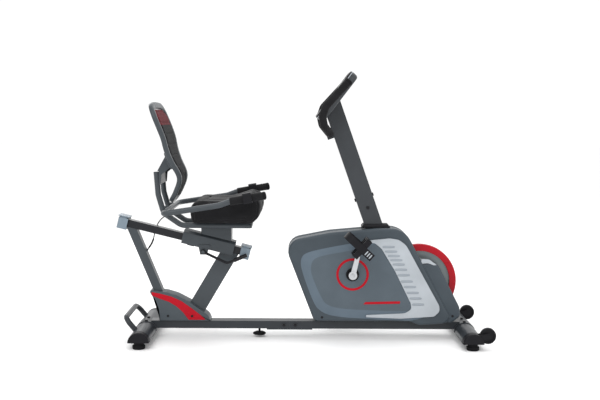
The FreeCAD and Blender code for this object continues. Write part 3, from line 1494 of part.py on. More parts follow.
def backrest_bridge():
    """The folded plate across the tops of the back tubes, which reaches forward to the backrest."""
    x, top = cell.seat_post_x, cell.back_tube_top
    front = x - 264 + cell.bar_radius
    width, wall = 2 * cell.back_tube_y + 30, cell.bridge_wall
    outline = [(front, top - 56), (front + 8, top - 56), (front + 12, top - 12), (x - 180, top + 36),
               (x - 190, top + 84), (x - 214, top + 84), (x - 258, top + 4), (front, top + 4)]
    inside = [(px + wall, pz - wall) for px, pz in outline]
    plate = slab("bridge_blank", "XZ", [outline], 0, width)
    room = slab("bridge_room", "XZ", [inside], 0, width - 2 * wall)
    spine_back = -cell.backrest_thickness / 2 - cell.spine_wall
    seat = slab("bridge_seat", "XZ", [backrest_profile(60, spine_back)], 0, 2 * width)
    return cut("backrest_bridge", cut("bridge_fold", plate, room), seat)


# Middle line of the backrest in side view: steps from the seat post and shares of its height.
BACKREST_LINE = [(-207, 0.0), (-178, 0.11), (-158, 0.26), (-190, 0.42), (-208, 0.53), (-222, 0.66),
                 (-262, 0.885), (-284, 1.0)]


def backrest_profile(front, back):
    """Side view of the backrest between two offsets from its middle line, from the bottom up and back."""
    x, low, high = cell.seat_post_x, cell.backrest_bottom, cell.backrest_top
    span = high - low
    forward = [(x + step + front, low + share * span) for step, share in BACKREST_LINE]
    backward = [(x + step + back, low + share * span) for step, share in reversed(BACKREST_LINE)]
    return forward + backward


def backrest_outline(rim):
    """Front view of the backrest, drawn in by a rim: widest near the top and narrow at the waist."""
    half, low, high = cell.backrest_half_width, cell.backrest_bottom, cell.backrest_top
    right = [(half * 0.44 - rim, low + rim), (half * 0.6 - rim, low + 100), (half * 0.84 - rim, low + 210),
             (half - rim, high - 110), (half * 0.93 - rim, high - 34 - rim / 2), (half * 0.7 - rim / 2, high - rim)]
    return right + [(-y, z) for y, z in reversed(right)]


def backrest_layer(label, front, back, front_views):
    """The part of a curved sheet that lies inside an outline in front view."""
    width = 2 * cell.backrest_half_width
    sheet_form = slab(label + "_sheet", "XZ", [backrest_profile(front, back)], 0, width)
    return common(label, sheet_form, slab(label + "_view", "YZ", front_views, cell.seat_post_x - 200, width))


def backrest():
    """A moulded hoop frame with a spine across its back, and a mesh pad stretched inside it."""
    thick, rim = cell.backrest_thickness, cell.backrest_rim
    hoop = backrest_layer("backrest_hoop", thick / 2, -thick / 2, [backrest_outline(as_size(0)), backrest_outline(rim)])
    low = cell.back_tube_top + 22
    half = 0.7 * cell.backrest_half_width
    spine = backrest_layer("backrest_spine", -thick / 2, -thick / 2 - cell.spine_wall,
                           [rectangle(-half, low, half, low + cell.spine_height)])
    keep(fuse("backrest_frame", [hoop, spine]))
    keep(backrest_layer("backrest_pad", thick / 2 - 3, -thick / 2 + 2, [backrest_outline(rim + 0.3)]))


def side_bar_points():
    """The right half of the side handlebar, from the middle at the back to its front end."""
    x, z = cell.side_bar_back_x, cell.side_bar_back_z
    half = cell.seat_half_width + cell.side_bar_gap
    knee = (x + 282, -half, z + 53)
    grip = cell.side_grip_length + 6
    tip = (knee[0] + grip * cosine(cell.side_grip_angle), -half, knee[2] + grip * sine(cell.side_grip_angle))
    return [(x, 0, z), (x, -half, z), (x + 239, -half, z + 37), knee, tip]


def side_handlebar():
    """The bar behind the seat that carries a hand grip and pulse sensor on each side."""
    right = side_bar_points()
    left = [(x, -y, z) for x, y, z in right[1:]]
    whole = [(x, y, z) for x, y, z in reversed(right[1:])]
    tube = bent_tube("side_bar", whole + left, 28, cell.bar_radius, cell.tube_wall)
    x, z, half = cell.side_bar_back_x, cell.side_bar_back_z, cell.back_tube_y + 20
    lugs = [slab("side_bar_lug", "XZ", [rectangle(x - 26, z - 16, x - 2, z + 16)], side * cell.back_tube_y, 14)
            for side in (-1, 1)]
    bore = bent_tube("side_bar_bore", [(x, -half, z), (x, half, z)], 0, cell.bar_radius - cell.tube_wall)
    seat = bent_tube("back_tube_seat", back_tube_points(), cell.back_tube_bend, cell.bar_radius + cell.running_gap)
    rooms = group("side_bar_rooms", [bore, seat, mirrored("back_tube_seat_left", seat)])
    keep(cut("side_handlebar", fuse("side_bar_welded", [tube] + lugs), rooms))
    knee, tip = right[3], right[4]
    length = cell.side_grip_length
    outer = cell.bar_radius + cell.foam_wall
    grip = slab("side_grip_right", "YZ", [], 6 + length / 2, length, [(0, 0, outer), (0, 0, cell.bar_radius)])
    place(grip, knee[0], knee[1], knee[2], tilt=-cell.side_grip_angle)
    keep(group("side_grips", [grip, mirrored("side_grip_left", grip)]))
    pod = new_body("pulse_sensor_right")
    sketch = new_sketch(pod, "YZ", length * 0.55)
    half = outer + 4
    draw_outline(sketch, [(-half + 4, -half + 1), (half - 4, -half + 1), (half, -half + 5), (half, half - 2),
                          (half - 5, half + 4), (-half + 5, half + 4), (-half, half - 2), (-half, -half + 5)])
    draw_circle(sketch, 0, 0, outer)
    pad(pod, sketch, 38)
    place(pod, knee[0], knee[1], knee[2], tilt=-cell.side_grip_angle)
    keep(group("pulse_sensors", [pod, mirrored("pulse_sensor_left", pod)]))


def adjusting_lever():
    """The sprung bent bar under the seat's right side, on a pin in its hanging bracket."""
    x, y, z = cell.lever_pivot_x, -cell.lever_y, cell.lever_pivot_z
    points = [(x + 7, y, z - 3.3), (x + 110, y, z - 52), (x + 198, y, z - 14)]
    bar = bent_tube("lever_bar", points, 24, cell.lever_radius)
    bore = cell.lever_pin_radius + cell.running_gap
    eye = slab("lever_eye", "XZ", [], y, 12, [(x, z, 11)])
    hole = slab("lever_hole", "XZ", [], y, 20, [(x, z, bore)])
    grip = bent_tube("lever_grip", [(x + 140, y, z - 39), points[-1]], 0, cell.lever_radius + 3)
    keep(cut("adjust_lever", fuse("lever_blank", [bar, eye, grip]), hole))


# ------------------------------------------------------------------------------------------------
# Sensor cord
# ------------------------------------------------------------------------------------------------

def sensor_cord():
    """A free cord of straight runs and tangent arcs, each arc as large as its two runs allow."""
    points = [Vector(*point) for point in CORD_ROUTE]
    edges = []
    last = points[0]
    for before, corner, after in zip(points, points[1:], points[2:]):
        towards, away = (corner - before), (after - corner)
        setback = CORD_ARC_SHARE * min(towards.Length, away.Length)
        half_turn = towards.getAngle(away) / 2
        radius = setback / math.tan(half_turn)
        towards.normalize()
        away.normalize()
        start, end = corner - towards * setback, corner + away * setback
        inwards = (away - towards).normalize()
        middle = corner + inwards * (radius / math.cos(half_turn) - radius)
        edges.append(Part.LineSegment(last, start).toShape())
        edges.append(Part.Arc(start, middle, end).toShape())
        print("cord bend radius %.1f mm" % radius)
        last = end
    edges.append(Part.LineSegment(last, points[-1]).toShape())
    path = Part.Wire(edges)
    cord = doc.addObject("Part::Feature", "sensor_cord")
    cord.Label = "sensor_cord"
    cord.Shape = swept(path, points, CORD_RADIUS)
    cord.Placement = Placement()
    section = math.pi * CORD_RADIUS ** 2
    print("cord length %.1f mm, volume share %.3f" % (path.Length, cord.Shape.Volume / section / path.Length))
    return keep(cord)


# ------------------------------------------------------------------------------------------------
# The whole bike
# ------------------------------------------------------------------------------------------------

def build():
    base_frame()
    joint_sleeve()
    frame_bolts()
    end_caps()
    levelling_feet()
    transport_wheels()
    carry_handle()
    seat_rail()
    rail_brackets()
    rail_struts()
    strut_shroud()
    casing_shells()
    trim_bands()
    mast_collar()
    drive_frame()
    bearings()
    crank()
    pedals()
    belt_drive()
    flywheel()
    brake()
    mast()
    console()
    console_handlebar()
    carriage()
    seat_post()
    seat_cushion()
    back_tubes()
    backrest()
    side_handlebar()
    adjusting_lever()
    sensor_cord()


def check_and_write():
    """Refuse to write anything if an object failed, then write each sub-part to its own file."""
    doc.recompute()
    for thing in doc.Objects:
        if "Invalid" in thing.State or "Error" in thing.State:
            raise RuntimeError("%s (%s) failed: %s" % (thing.Name, thing.Label, thing.State))
    for name, piece in NODES.items():
        if piece.Shape.isNull() or not piece.Shape.isValid():
            raise RuntimeError("%s has no valid shape" % name)
    os.makedirs("parts", exist_ok=True)
    for name, piece in NODES.items():
        piece.Shape.exportStep(os.path.join("parts", name + ".step"))
    print("%d sub-parts written" % len(NODES))


build()
check_and_write()
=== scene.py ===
# %% [markdown]
# # A recumbent exercise bike
# The engineering model already fixes every place, size and joint.  This script gives that model its
# looks: moulded panels with soft edges, foam and fabric, paint, steel and rubber.  Lengths are metres,
# X points to the flywheel, Y to the rider's left and Z up.

# %% Load the frame
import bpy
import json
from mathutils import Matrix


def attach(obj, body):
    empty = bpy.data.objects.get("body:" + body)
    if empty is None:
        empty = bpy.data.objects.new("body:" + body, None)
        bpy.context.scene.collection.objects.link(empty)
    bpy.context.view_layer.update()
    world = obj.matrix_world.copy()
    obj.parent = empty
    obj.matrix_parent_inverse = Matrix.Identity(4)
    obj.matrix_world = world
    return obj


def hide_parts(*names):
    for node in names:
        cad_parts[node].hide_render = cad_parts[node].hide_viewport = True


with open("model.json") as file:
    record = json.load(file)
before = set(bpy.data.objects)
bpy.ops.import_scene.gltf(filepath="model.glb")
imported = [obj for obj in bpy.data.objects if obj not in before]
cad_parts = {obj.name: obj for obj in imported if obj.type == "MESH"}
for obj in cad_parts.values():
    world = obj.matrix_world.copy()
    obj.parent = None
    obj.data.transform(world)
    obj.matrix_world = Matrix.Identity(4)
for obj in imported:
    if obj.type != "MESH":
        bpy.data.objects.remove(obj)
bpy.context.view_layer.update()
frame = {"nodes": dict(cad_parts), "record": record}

import json
import math

import bmesh
import bpy
from mathutils import Matrix, Vector

# %% [markdown]
# ## Camera, light and floor
# A long lens from far off keeps the bike's proportions honest, because near and far parts come out at
# nearly the same scale.  The camera is turned down a little, as a person standing beside the bike sees
# it.  Light comes from large soft panels and a pale world, so edges read by gentle gradients.

# %% Camera
SENSOR_WIDTH = 0.036
LENS = 0.0551
CAMERA_PLACE = Vector((-0.043, -4.2, 1.018))
CAMERA_YAW = math.radians(0.42)
CAMERA_PITCH = math.radians(5.19)
CAMERA_ROLL = math.radians(0.35)


def camera_axes(yaw, pitch, roll):
    """Right, up and backward directions of a camera that looks along +Y before it is turned."""
    level = math.cos(pitch)
    ahead = Vector((math.sin(yaw) * level, math.cos(yaw) * level, -math.sin(pitch)))
    right = Vector((math.cos(yaw), -math.sin(yaw), 0))
    up = right.cross(ahead)
    rolled_right = right * math.cos(roll) + up * math.sin(roll)
    rolled_up = up * math.cos(roll) - right * math.sin(roll)
    return rolled_right, rolled_up, -ahead


def add_camera():
    lens = bpy.data.cameras.new("studio_camera")
    lens.sensor_width = SENSOR_WIDTH * 1000
    lens.lens = LENS * 1000
    camera = bpy.data.objects.new("studio_camera", lens)
    bpy.context.collection.objects.link(camera)
    turn = Matrix(camera_axes(CAMERA_YAW, CAMERA_PITCH, CAMERA_ROLL)).transposed().to_4x4()
    camera.matrix_world = Matrix.Translation(CAMERA_PLACE) @ turn
    bpy.context.scene.camera = camera
    return camera


print("camera at", tuple(round(value, 3) for value in add_camera().location))

# %% Light panels and world


def add_panel_light(name, place, target, size, power):
    """A large square light that faces the target."""
    light = bpy.data.lights.new(name, "AREA")
    light.size = size
    light.energy = power
    lamp = bpy.data.objects.new(name, light)
    bpy.context.collection.objects.link(lamp)
    lamp.location = place
    lamp.rotation_euler = (Vector(target) - Vector(place)).to_track_quat("-Z", "Y").to_euler()
    return lamp


BIKE_MIDDLE = (0, 0, 0.5)
WORLD_STRENGTH = 1.06
# Name, place, size in metres and power in watts.
PANEL_LIGHTS = [("key_light", (-1.6, -3.0, 3.2), 2.4, 46), ("fill_light", (2.8, -2.6, 1.6), 2.4, 16),
                ("top_light", (0.2, 0.6, 3.6), 3.0, 46), ("back_light", (-1.8, 3.0, 2.2), 2.0, 26)]
for name, place, size, power in PANEL_LIGHTS:
    add_panel_light(name, place, BIKE_MIDDLE, size, power)

world = bpy.data.worlds.new("pale_studio")
world.use_nodes = True
sky = world.node_tree.nodes["Background"]
sky.inputs["Color"].default_value = (1.0, 1.0, 1.0, 1.0)
sky.inputs["Strength"].default_value = WORLD_STRENGTH
bpy.context.scene.world = world
bpy.context.scene.view_settings.view_transform = "Standard"

# %% [markdown]
# ## Finishes
# Almost every surface here is painted steel or moulded plastic.  One recipe serves them all: a base
# colour that drifts slightly, a fine grain in the bump and roughness that varies with the grain.  Foam,
# fabric and brushed steel get recipes of their own, because what makes them look real is their
# pattern, not their colour.

# %% Node helpers


def new_finish(name):
    """A material, its node tree, its shader and the painted piece's own coordinates."""
    finish = bpy.data.materials.new(name)
    finish.use_nodes = True
    tree = finish.node_tree
    place = tree.nodes.new("ShaderNodeTexCoord").outputs["Object"]
    return finish, tree, tree.nodes["Principled BSDF"], place


def set_inputs(node, values):
    """Set several of a node's own values."""
    for name, value in values.items():
        node.inputs[name].default_value = value


def add_noise(tree, coordinates, scale, detail=3, stretch=(1, 1, 1)):
    """A noise pattern over the piece's own coordinates, stretched along an axis if wanted."""
    mapping = tree.nodes.new("ShaderNodeMapping")
    mapping.inputs["Scale"].default_value = stretch
    tree.links.new(coordinates, mapping.inputs["Vector"])
    noise = tree.nodes.new("ShaderNodeTexNoise")
    noise.inputs["Scale"].default_value = scale
    noise.inputs["Detail"].default_value = detail
    tree.links.new(mapping.outputs["Vector"], noise.inputs["Vector"])
    return noise.outputs["Fac"]


def add_ramp(tree, factor, stops):
    """A colour ramp with the given (position, colour) stops."""
    ramp = tree.nodes.new("ShaderNodeValToRGB")
    elements = ramp.color_ramp.elements
    while len(elements) < len(stops):
        elements.new(1.0)
    for element, (position, colour) in zip(elements, stops):
        element.position = position
        element.color = (*colour, 1.0)
    tree.links.new(factor, ramp.inputs["Fac"])
    return ramp.outputs["Color"]


def add_range(tree, factor, low, high):
    spread = tree.nodes.new("ShaderNodeMapRange")
    spread.inputs["To Min"].default_value = low
    spread.inputs["To Max"].default_value = high
    tree.links.new(factor, spread.inputs["Value"])
    return spread.outputs["Result"]


def add_bump(tree, height, shader, distance, strength=1.0, soft_edge=0.0):
    """Small relief, laid over edges that are rounded for the light by soft_edge."""
    bump = tree.nodes.new("ShaderNodeBump")
    bump.inputs["Strength"].default_value = strength
    bump.inputs["Distance"].default_value = distance
    tree.links.new(height, bump.inputs["Height"])
    if soft_edge:
        bevel = tree.nodes.new("ShaderNodeBevel")
        bevel.samples = 4
        bevel.inputs["Radius"].default_value = soft_edge
        tree.links.new(bevel.outputs["Normal"], bump.inputs["Normal"])
    tree.links.new(bump.outputs["Normal"], shader.inputs["Normal"])


def shade(colour, factor):
    return tuple(min(1.0, channel * factor) for channel in colour)


def drift_colour(tree, shader, pattern, dark, light, low=0.3, high=0.7):
    """Let the base colour drift from a dark to a light shade with a pattern."""
    colours = add_ramp(tree, pattern, [(low, dark), (high, light)])
    tree.links.new(colours, shader.inputs["Base Color"])


# %% Painted and moulded finishes


def moulded(name, colour, roughness, metallic=0.0, grain=900, depth=0.00012, coat=0.0, soft_edge=0.0008,
            drift=0.10, shine=0.22):
    """Plastic or paint: a drifting colour, a fine grain and a gloss that follows it."""
    finish, tree, shader, place = new_finish(name)
    clouds = add_noise(tree, place, 9, 4)
    drift_colour(tree, shader, clouds, shade(colour, 1 - drift), shade(colour, 1 + drift), 0.25, 0.75)
    specks = add_noise(tree, place, grain, 2)
    tree.links.new(add_range(tree, clouds, roughness - 0.05, roughness + 0.07), shader.inputs["Roughness"])
    set_inputs(shader, {"Metallic": metallic, "Specular IOR Level": shine, "Coat Weight": coat,
                        "Coat Roughness": 0.15})
    add_bump(tree, specks, shader, depth, 0.6, soft_edge)
    return finish


SLATE = (0.074, 0.094, 0.112)
# The band's lighter blue is painted light: it is the panel's plastic, lit where its slope catches light.
PAINTED_LIGHT_BAND_BLUE = (0.098, 0.130, 0.162)
FINISHES = {
    "frame_paint": moulded("frame_paint", (0.027, 0.031, 0.036), 0.36, coat=0.08, soft_edge=0.002),
    "mast_paint": moulded("mast_paint", (0.036, 0.040, 0.045), 0.34, coat=0.10, soft_edge=0.004),
    "carriage_paint": moulded("carriage_paint", (0.046, 0.054, 0.061), 0.36, coat=0.08, soft_edge=0.002),
    "rail_black": moulded("rail_black", (0.008, 0.009, 0.012), 0.24, coat=0.12),
    "bracket_grey": moulded("bracket_grey", (0.175, 0.220, 0.262), 0.38, 0.1, coat=0.08, soft_edge=0.002),
    "casing_plastic": moulded("casing_plastic", shade(SLATE, 0.66), 0.44, grain=1400, soft_edge=0.001),
    "casing_panel": moulded("casing_panel", shade(SLATE, 1.05), 0.42, grain=1400),
    "casing_band_painted_light": moulded("casing_band_painted_light", PAINTED_LIGHT_BAND_BLUE, 0.40, grain=1400),
    "silver_plastic": moulded("silver_plastic", (0.385, 0.415, 0.445), 0.32, 0.25, coat=0.12),
    # A darker copy of the silver: painted shade for the ribs, which read as dark grooves.
    "rib_silver_painted_shade": moulded("rib_silver_painted_shade", (0.270, 0.300, 0.330), 0.36, 0.25, coat=0.05),
    "shroud_plastic": moulded("shroud_plastic", (0.060, 0.072, 0.082), 0.42, grain=1400, soft_edge=0.001),
    "accent_red": moulded("accent_red", (0.400, 0.004, 0.014), 0.34, grain=600, shine=0.12),
    "rim_paint": moulded("rim_paint", (0.330, 0.003, 0.011), 0.26, coat=0.05, grain=500,
                         soft_edge=0.0015, shine=0.15),
    "black_plastic": moulded("black_plastic", (0.008, 0.008, 0.010), 0.48, grain=1600, depth=0.0002,
                             shine=0.14),
    "bolt_steel": moulded("bolt_steel", (0.012, 0.012, 0.014), 0.38, 0.3),
    "rubber": moulded("rubber", (0.007, 0.007, 0.008), 0.72, grain=1200, depth=0.0003, shine=0.10),
    "crank_metal": moulded("crank_metal", (0.50, 0.51, 0.53), 0.28, 0.85, coat=0.2),
}
print("moulded and painted finishes:", len(FINISHES))

# %% Brushed steel, foam, cover cloth and screen
CLOTH_SHINE = 0.12


def brushed_steel(name, colour, roughness, stretch):
    """Turned or brushed metal: noise drawn out along one direction."""
    finish, tree, shader, place = new_finish(name)
    lines = add_noise(tree, place, 60, 4, stretch)
    drift_colour(tree, shader, lines, shade(colour, 0.82), shade(colour, 1.1))
    tree.links.new(add_range(tree, lines, roughness - 0.08, roughness + 0.1), shader.inputs["Roughness"])
    shader.inputs["Metallic"].default_value = 1.0
    add_bump(tree, lines, shader, 0.00008, 0.5, 0.0006)
    return finish


def foam(name, colour):
    """Closed-cell foam: countless small pits and no gloss."""
    finish, tree, shader, place = new_finish(name)
    cells = tree.nodes.new("ShaderNodeTexVoronoi")
    cells.inputs["Scale"].default_value = 700
    tree.links.new(place, cells.inputs["Vector"])
    drift_colour(tree, shader, add_noise(tree, place, 30), shade(colour, 0.8), shade(colour, 1.3))
    set_inputs(shader, {"Roughness": 0.82, "Specular IOR Level": CLOTH_SHINE, "Sheen Weight": 0.03})
    add_bump(tree, cells.outputs["Distance"], shader, 0.0004, 0.7)
    return finish


def add_wave(tree, coordinates, scale, direction):
    wave = tree.nodes.new("ShaderNodeTexWave")
    wave.bands_direction = direction
    set_inputs(wave, {"Scale": scale, "Distortion": 0.6, "Detail": 1})
    tree.links.new(coordinates, wave.inputs["Vector"])
    return wave.outputs["Fac"]


def woven(name, colour, threads, depth, roughness=0.75, sheen=0.02):
    """A weave made where two sets of threads cross, in any direction that the surface faces."""
    finish, tree, shader, place = new_finish(name)
    crossing = None
    for direction in ("X", "Y", "Z"):
        wave = add_wave(tree, place, threads, direction)
        if crossing is None:
            crossing = wave
            continue
        both = tree.nodes.new("ShaderNodeMath")
        both.operation = "MULTIPLY"
        tree.links.new(crossing, both.inputs[0])
        tree.links.new(add_range(tree, wave, 0.35, 1.0), both.inputs[1])
        crossing = both.outputs["Value"]
    drift_colour(tree, shader, add_noise(tree, place, 14), shade(colour, 0.75), shade(colour, 1.35))
    set_inputs(shader, {"Roughness": roughness, "Specular IOR Level": CLOTH_SHINE, "Sheen Weight": sheen})
    add_bump(tree, crossing, shader, depth, 0.6)
    return finish


def dark_glass(name):
    """A screen that is switched off: nearly black and very smooth."""
    finish, tree, shader, place = new_finish(name)
    clouds = add_noise(tree, place, 4)
    drift_colour(tree, shader, clouds, (0.016, 0.022, 0.026), (0.030, 0.040, 0.046))
    set_inputs(shader, {"Roughness": 0.06, "Coat Weight": 0.6})
    return finish


FINISHES["steel"] = brushed_steel("steel", (0.46, 0.47, 0.49), 0.34, (1, 12, 1))
FINISHES["foam"] = foam("foam", (0.010, 0.010, 0.011))
FINISHES["cushion_cover"] = woven("cushion_cover", (0.006, 0.006, 0.007), 260, 0.00035, 0.62)
FINISHES["mesh"] = woven("mesh", (0.008, 0.008, 0.009), 150, 0.0007)
# Dark red copy of the woven cover: a painted reflection on the front of the pad's top band; the cover itself
# is black mesh.
FINISHES["pad_painted_reflection"] = woven("pad_painted_reflection", (0.085, 0.004, 0.008), 150, 0.0006)
FINISHES["webbing"] = woven("webbing", (0.012, 0.012, 0.013), 420, 0.0004)
FINISHES["screen"] = dark_glass("screen")
print("finishes in all:", len(FINISHES))

# %% [markdown]
# ### Flywheel disc
# The real disc is cast iron, turned on a lathe: a bright machined boss plate in the middle and a duller
# web outside it.  Both are one piece of metal, so the finish changes with the distance from the axle
# instead of using two pieces.

# %% Flywheel finish
FLYWHEEL_CENTRE = Vector((0.539, 0, 0.265))
BOSS_PLATE_RADIUS = 0.103
MACHINED_GREY = (0.40, 0.43, 0.44)
CAST_GREY = (0.155, 0.175, 0.180)


def add_vector_math(tree, operation, vector, second=None):
    """One step of vector arithmetic on a socket."""
    node = tree.nodes.new("ShaderNodeVectorMath")
    node.operation = operation
    if second is not None:
        node.inputs[1].default_value = second
    tree.links.new(vector, node.inputs[0])
    return node.outputs["Value" if operation == "LENGTH" else "Vector"]


def turned_disc(name):
    """Cast iron, brighter inside the boss plate's edge, with fine rings round the axle."""
    finish, tree, shader, place = new_finish(name)
    offset = add_vector_math(tree, "SUBTRACT", place, FLYWHEEL_CENTRE)
    flat = add_vector_math(tree, "MULTIPLY", offset, (1, 0, 1))
    radius = add_vector_math(tree, "LENGTH", flat)
    step = tree.nodes.new("ShaderNodeMapRange")
    set_inputs(step, {"From Min": BOSS_PLATE_RADIUS - 0.001, "From Max": BOSS_PLATE_RADIUS + 0.001})
    tree.links.new(radius, step.inputs["Value"])
    drift_colour(tree, shader, step.outputs["Result"], MACHINED_GREY, CAST_GREY, 0.0, 1.0)
    rings = tree.nodes.new("ShaderNodeTexNoise")
    rings.noise_dimensions = "1D"
    rings.inputs["Scale"].default_value = 1500
    tree.links.new(radius, rings.inputs["W"])
    tree.links.new(add_range(tree, rings.outputs["Fac"], 0.3, 0.48), shader.inputs["Roughness"])
    shader.inputs["Metallic"].default_value = 0.7
    add_bump(tree, rings.outputs["Fac"], shader, 0.0001, 0.5, 0.0006)
    return finish


FINISHES["flywheel_disc"] = turned_disc("flywheel_disc")
print("boss plate radius:", BOSS_PLATE_RADIUS)

# %% [markdown]
# ## Pieces that keep their engineered shape
# Tubes, brackets, wheels and shafts already have the right form.  They only change their finish, which
# goes into the material slots of the loaded objects.

# %% Paint the carried-over pieces
SLOT_OF_NODE = {entry["node"]: entry["material_slot"] for entry in frame["record"]["subparts"]}
SPECIAL_FINISH = {"mast": "mast_paint", "flywheel_disc": "flywheel_disc"}
for name in ("carriage_housing", "rail_struts", "seat_post", "back_tubes", "side_handlebar"):
    SPECIAL_FINISH[name] = "carriage_paint"


def paint(piece, finish_name):
    """Give every material slot of a piece one finish."""
    if not piece.data.materials:
        piece.data.materials.append(None)
    for index in range(len(piece.data.materials)):
        piece.data.materials[index] = FINISHES[finish_name]
    return piece


for node, piece in frame["nodes"].items():
    paint(piece, SPECIAL_FINISH.get(node, SLOT_OF_NODE[node]))
print("painted nodes:", len(frame["nodes"]))

# %% [markdown]
# ## Moulded panels from outlines
# A plastic shell is drawn in side view and pulled out sideways, and its edge is rolled over.  The same
# three helpers make every panel here.  One rounds the corners of an outline, one draws it inwards, and
# one skins a stack of such rings.  Doing it ring by ring gives a soft edge of even width, which a flat
# slab with sharp corners never has.

# %% Outline helpers
CORNER_STEPS = 6
CAP_STEPS = 5
FLAT_EDGE = math.radians(38)


def metres(points):
    """Turns outline points in millimetres into metres."""
    return [tuple(value / 1000 for value in point) for point in points]


def rounded(corners):
    """An outline from (x, z, radius) corners: each corner becomes an arc that touches both sides."""
    outline = []
    count = len(corners)
    for index, (x, z, radius) in enumerate(corners):
        corner = Vector((x, z))
        before = (Vector(corners[index - 1][:2]) - corner).normalized()
        after = (Vector(corners[(index + 1) % count][:2]) - corner).normalized()
        if radius <= 0:
            outline.append(corner)
            continue
        half = before.angle(after) / 2
        setback = radius / math.tan(half)
        centre = corner + (before + after).normalized() * (radius / math.sin(half))
        start = corner + before * setback - centre
        end = corner + after * setback - centre
        turn = start.angle_signed(end)
        for step in range(CORNER_STEPS + 1):
            angle = -turn * step / CORNER_STEPS
            outline.append(centre + Vector((start.x * math.cos(angle) - start.y * math.sin(angle),
                                            start.x * math.sin(angle) + start.y * math.cos(angle))))
    return outline


def smooth_loop(points, steps=6):
    """A closed curve through the points (Catmull-Rom)."""
    points = [Vector(point) for point in points]
    count = len(points)
    loop = []
    for index in range(count):
        before, start, end, after = (points[(index + shift) % count] for shift in (-1, 0, 1, 2))
        for step in range(steps):
            t = step / steps
            loop.append(0.5 * (2 * start + (end - before) * t
                               + (2 * before - 5 * start + 4 * end - after) * t * t
                               + (3 * start - before - 3 * end + after) * t * t * t))
    return loop


def divided(outline, longest):
    """The same outline with its long sides cut into shorter ones."""
    points = []
    for index, point in enumerate(outline):
        following = outline[(index + 1) % len(outline)]
        parts = max(1, math.ceil((following - point).length / longest))
        points += [point.lerp(following, part / parts) for part in range(parts)]
    return points


def drawn_in(outline, distance):
    """The outline moved inwards by a distance.  It runs counter-clockwise."""
    moved = []
    for index, point in enumerate(outline):
        before = (point - outline[index - 1]).normalized()
        after = (outline[(index + 1) % len(outline)] - point).normalized()
        middle = before + after
        inwards = Vector((-middle.y, middle.x)).normalized()
        stretch = max(0.5, inwards.dot(Vector((-before.y, before.x))))
        moved.append(point + inwards * (distance / stretch))
    return moved


# %% Skins


def new_piece(name, points, faces, finishes, body, sharp=FLAT_EDGE, face_finish=None):
    """A mesh piece that rides on a body.  face_finish gives the finish number of each face."""
    mesh = bpy.data.meshes.new(name)
    mesh.from_pydata([tuple(point) for point in points], [], faces)
    work = bmesh.new()
    work.from_mesh(mesh)
    if face_finish is not None:
        for face, number in zip(work.faces, face_finish):
            face.material_index = number
    bmesh.ops.remove_doubles(work, verts=work.verts, dist=1e-6)
    bmesh.ops.recalc_face_normals(work, faces=work.faces)
    bmesh.ops.triangulate(work, faces=[face for face in work.faces if len(face.verts) > 4])
    work.to_mesh(mesh)
    work.free()
    mesh.shade_smooth()
    mesh.set_sharp_from_angle(angle=sharp)
    piece = bpy.data.objects.new(name, mesh)
    bpy.context.collection.objects.link(piece)
    for finish in finishes:
        mesh.materials.append(FINISHES[finish])
    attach(piece, body)
    return piece


def skin(rings, close_start=False, close_end=True):
    """Points and faces that join a stack of equally long rings."""
    count = len(rings[0])
    points = [point for ring in rings for point in ring]
    faces = []
    for level in range(len(rings) - 1):
        for index in range(count):
            following = (index + 1) % count
            low, high = level * count, (level + 1) * count
            faces.append((low + index, low + following, high + following, high + index))
    if close_end:
        faces.append(tuple(range((len(rings) - 1) * count, len(rings) * count)))
    if close_start:
        faces.append(tuple(reversed(range(count))))
    return points, faces


def joined(parts):
    """Points and faces of several skins as one."""
    points, faces = [], []
    for part_points, part_faces in parts:
        shift = len(points)
        points += part_points
        faces += [tuple(index + shift for index in face) for face in part_faces]
    return points, faces


def add_piece(name, parts, finish, body="frame", sharp=FLAT_EDGE):
    """One piece made of several skins, with its finish and its body."""
    points, faces = joined(parts)
    return new_piece(name, points, faces, [finish], body, sharp)


def at_side(outline, y):
    """Stand an outline up at a distance to one side.  A single number, or one for each point."""
    if not isinstance(y, list):
        y = [y] * len(outline)
    return [Vector((point.x, across, point.y)) for point, across in zip(outline, y)]


def rolled_rings(outline, start_y, side_y, edge):
    """Rings of a panel that starts at start_y, runs out to side_y, and rolls over its edge."""
    sign = 1 if side_y > 0 else -1
    rings = [at_side(outline, start_y)]
    for step in range(CAP_STEPS + 1):
        angle = math.radians(90) * step / CAP_STEPS
        rings.append(at_side(drawn_in(outline, edge * (1 - math.cos(angle))),
                             side_y - sign * edge * (1 - math.sin(angle))))
    return rings


def panel(name, outline, start_y, side_y, edge, finish, body="frame"):
    """A raised panel with a rolled edge on one side of the bike."""
    points, faces = skin(rolled_rings(outline, start_y, side_y, edge))
    return new_piece(name, points, faces, [finish], body)


def thicken(piece, wall):
    """Give a skin its wall, on the inside."""
    solidify = piece.modifiers.new("wall", "SOLIDIFY")
    solidify.thickness = wall
    solidify.offset = -1
    return piece


SIDES = {"right": -1, "left": 1}
print("outline and skin helpers ready for", list(SIDES))

# %% [markdown]
# ## Casing shells
# Two half shells meet in the bike's middle plane and hide the crank's belt drive.  The flywheel comes
# out between them at the front, so there each half starts further out.  A second, narrower form in
# front of the main one guards the flywheel's side.  The real parts are injection moulded: their edges
# are rolled over about a centimetre, and their walls are three millimetres.

# %% Casing outlines
CASING_HALF_WIDTH = 0.070
GUARD_HALF_WIDTH = 0.060
SHELL_WALL = 0.003
SEAM = 0.0003
CASING_EDGE = 0.013
GUARD_EDGE = 0.010
FLYWHEEL_ROOM_RADIUS = 0.181
FLYWHEEL_ROOM_HALF_WIDTH = 0.0275

CASING = divided(rounded(metres([
    (55, 86, 28), (495, 86, 60), (537, 68, 60), (650, 76, 40), (686, 96, 30), (462, 514, 100),
    (342, 514, 0), (124, 494, 300), (-88, 452, 62)])), 0.012)
GUARD = divided(rounded(metres([
    (532, 72, 0), (690, 80, 22), (727, 110, 22), (722, 152, 30), (618, 352, 26), (520, 352, 30),
    (480, 330, 0)])), 0.012)


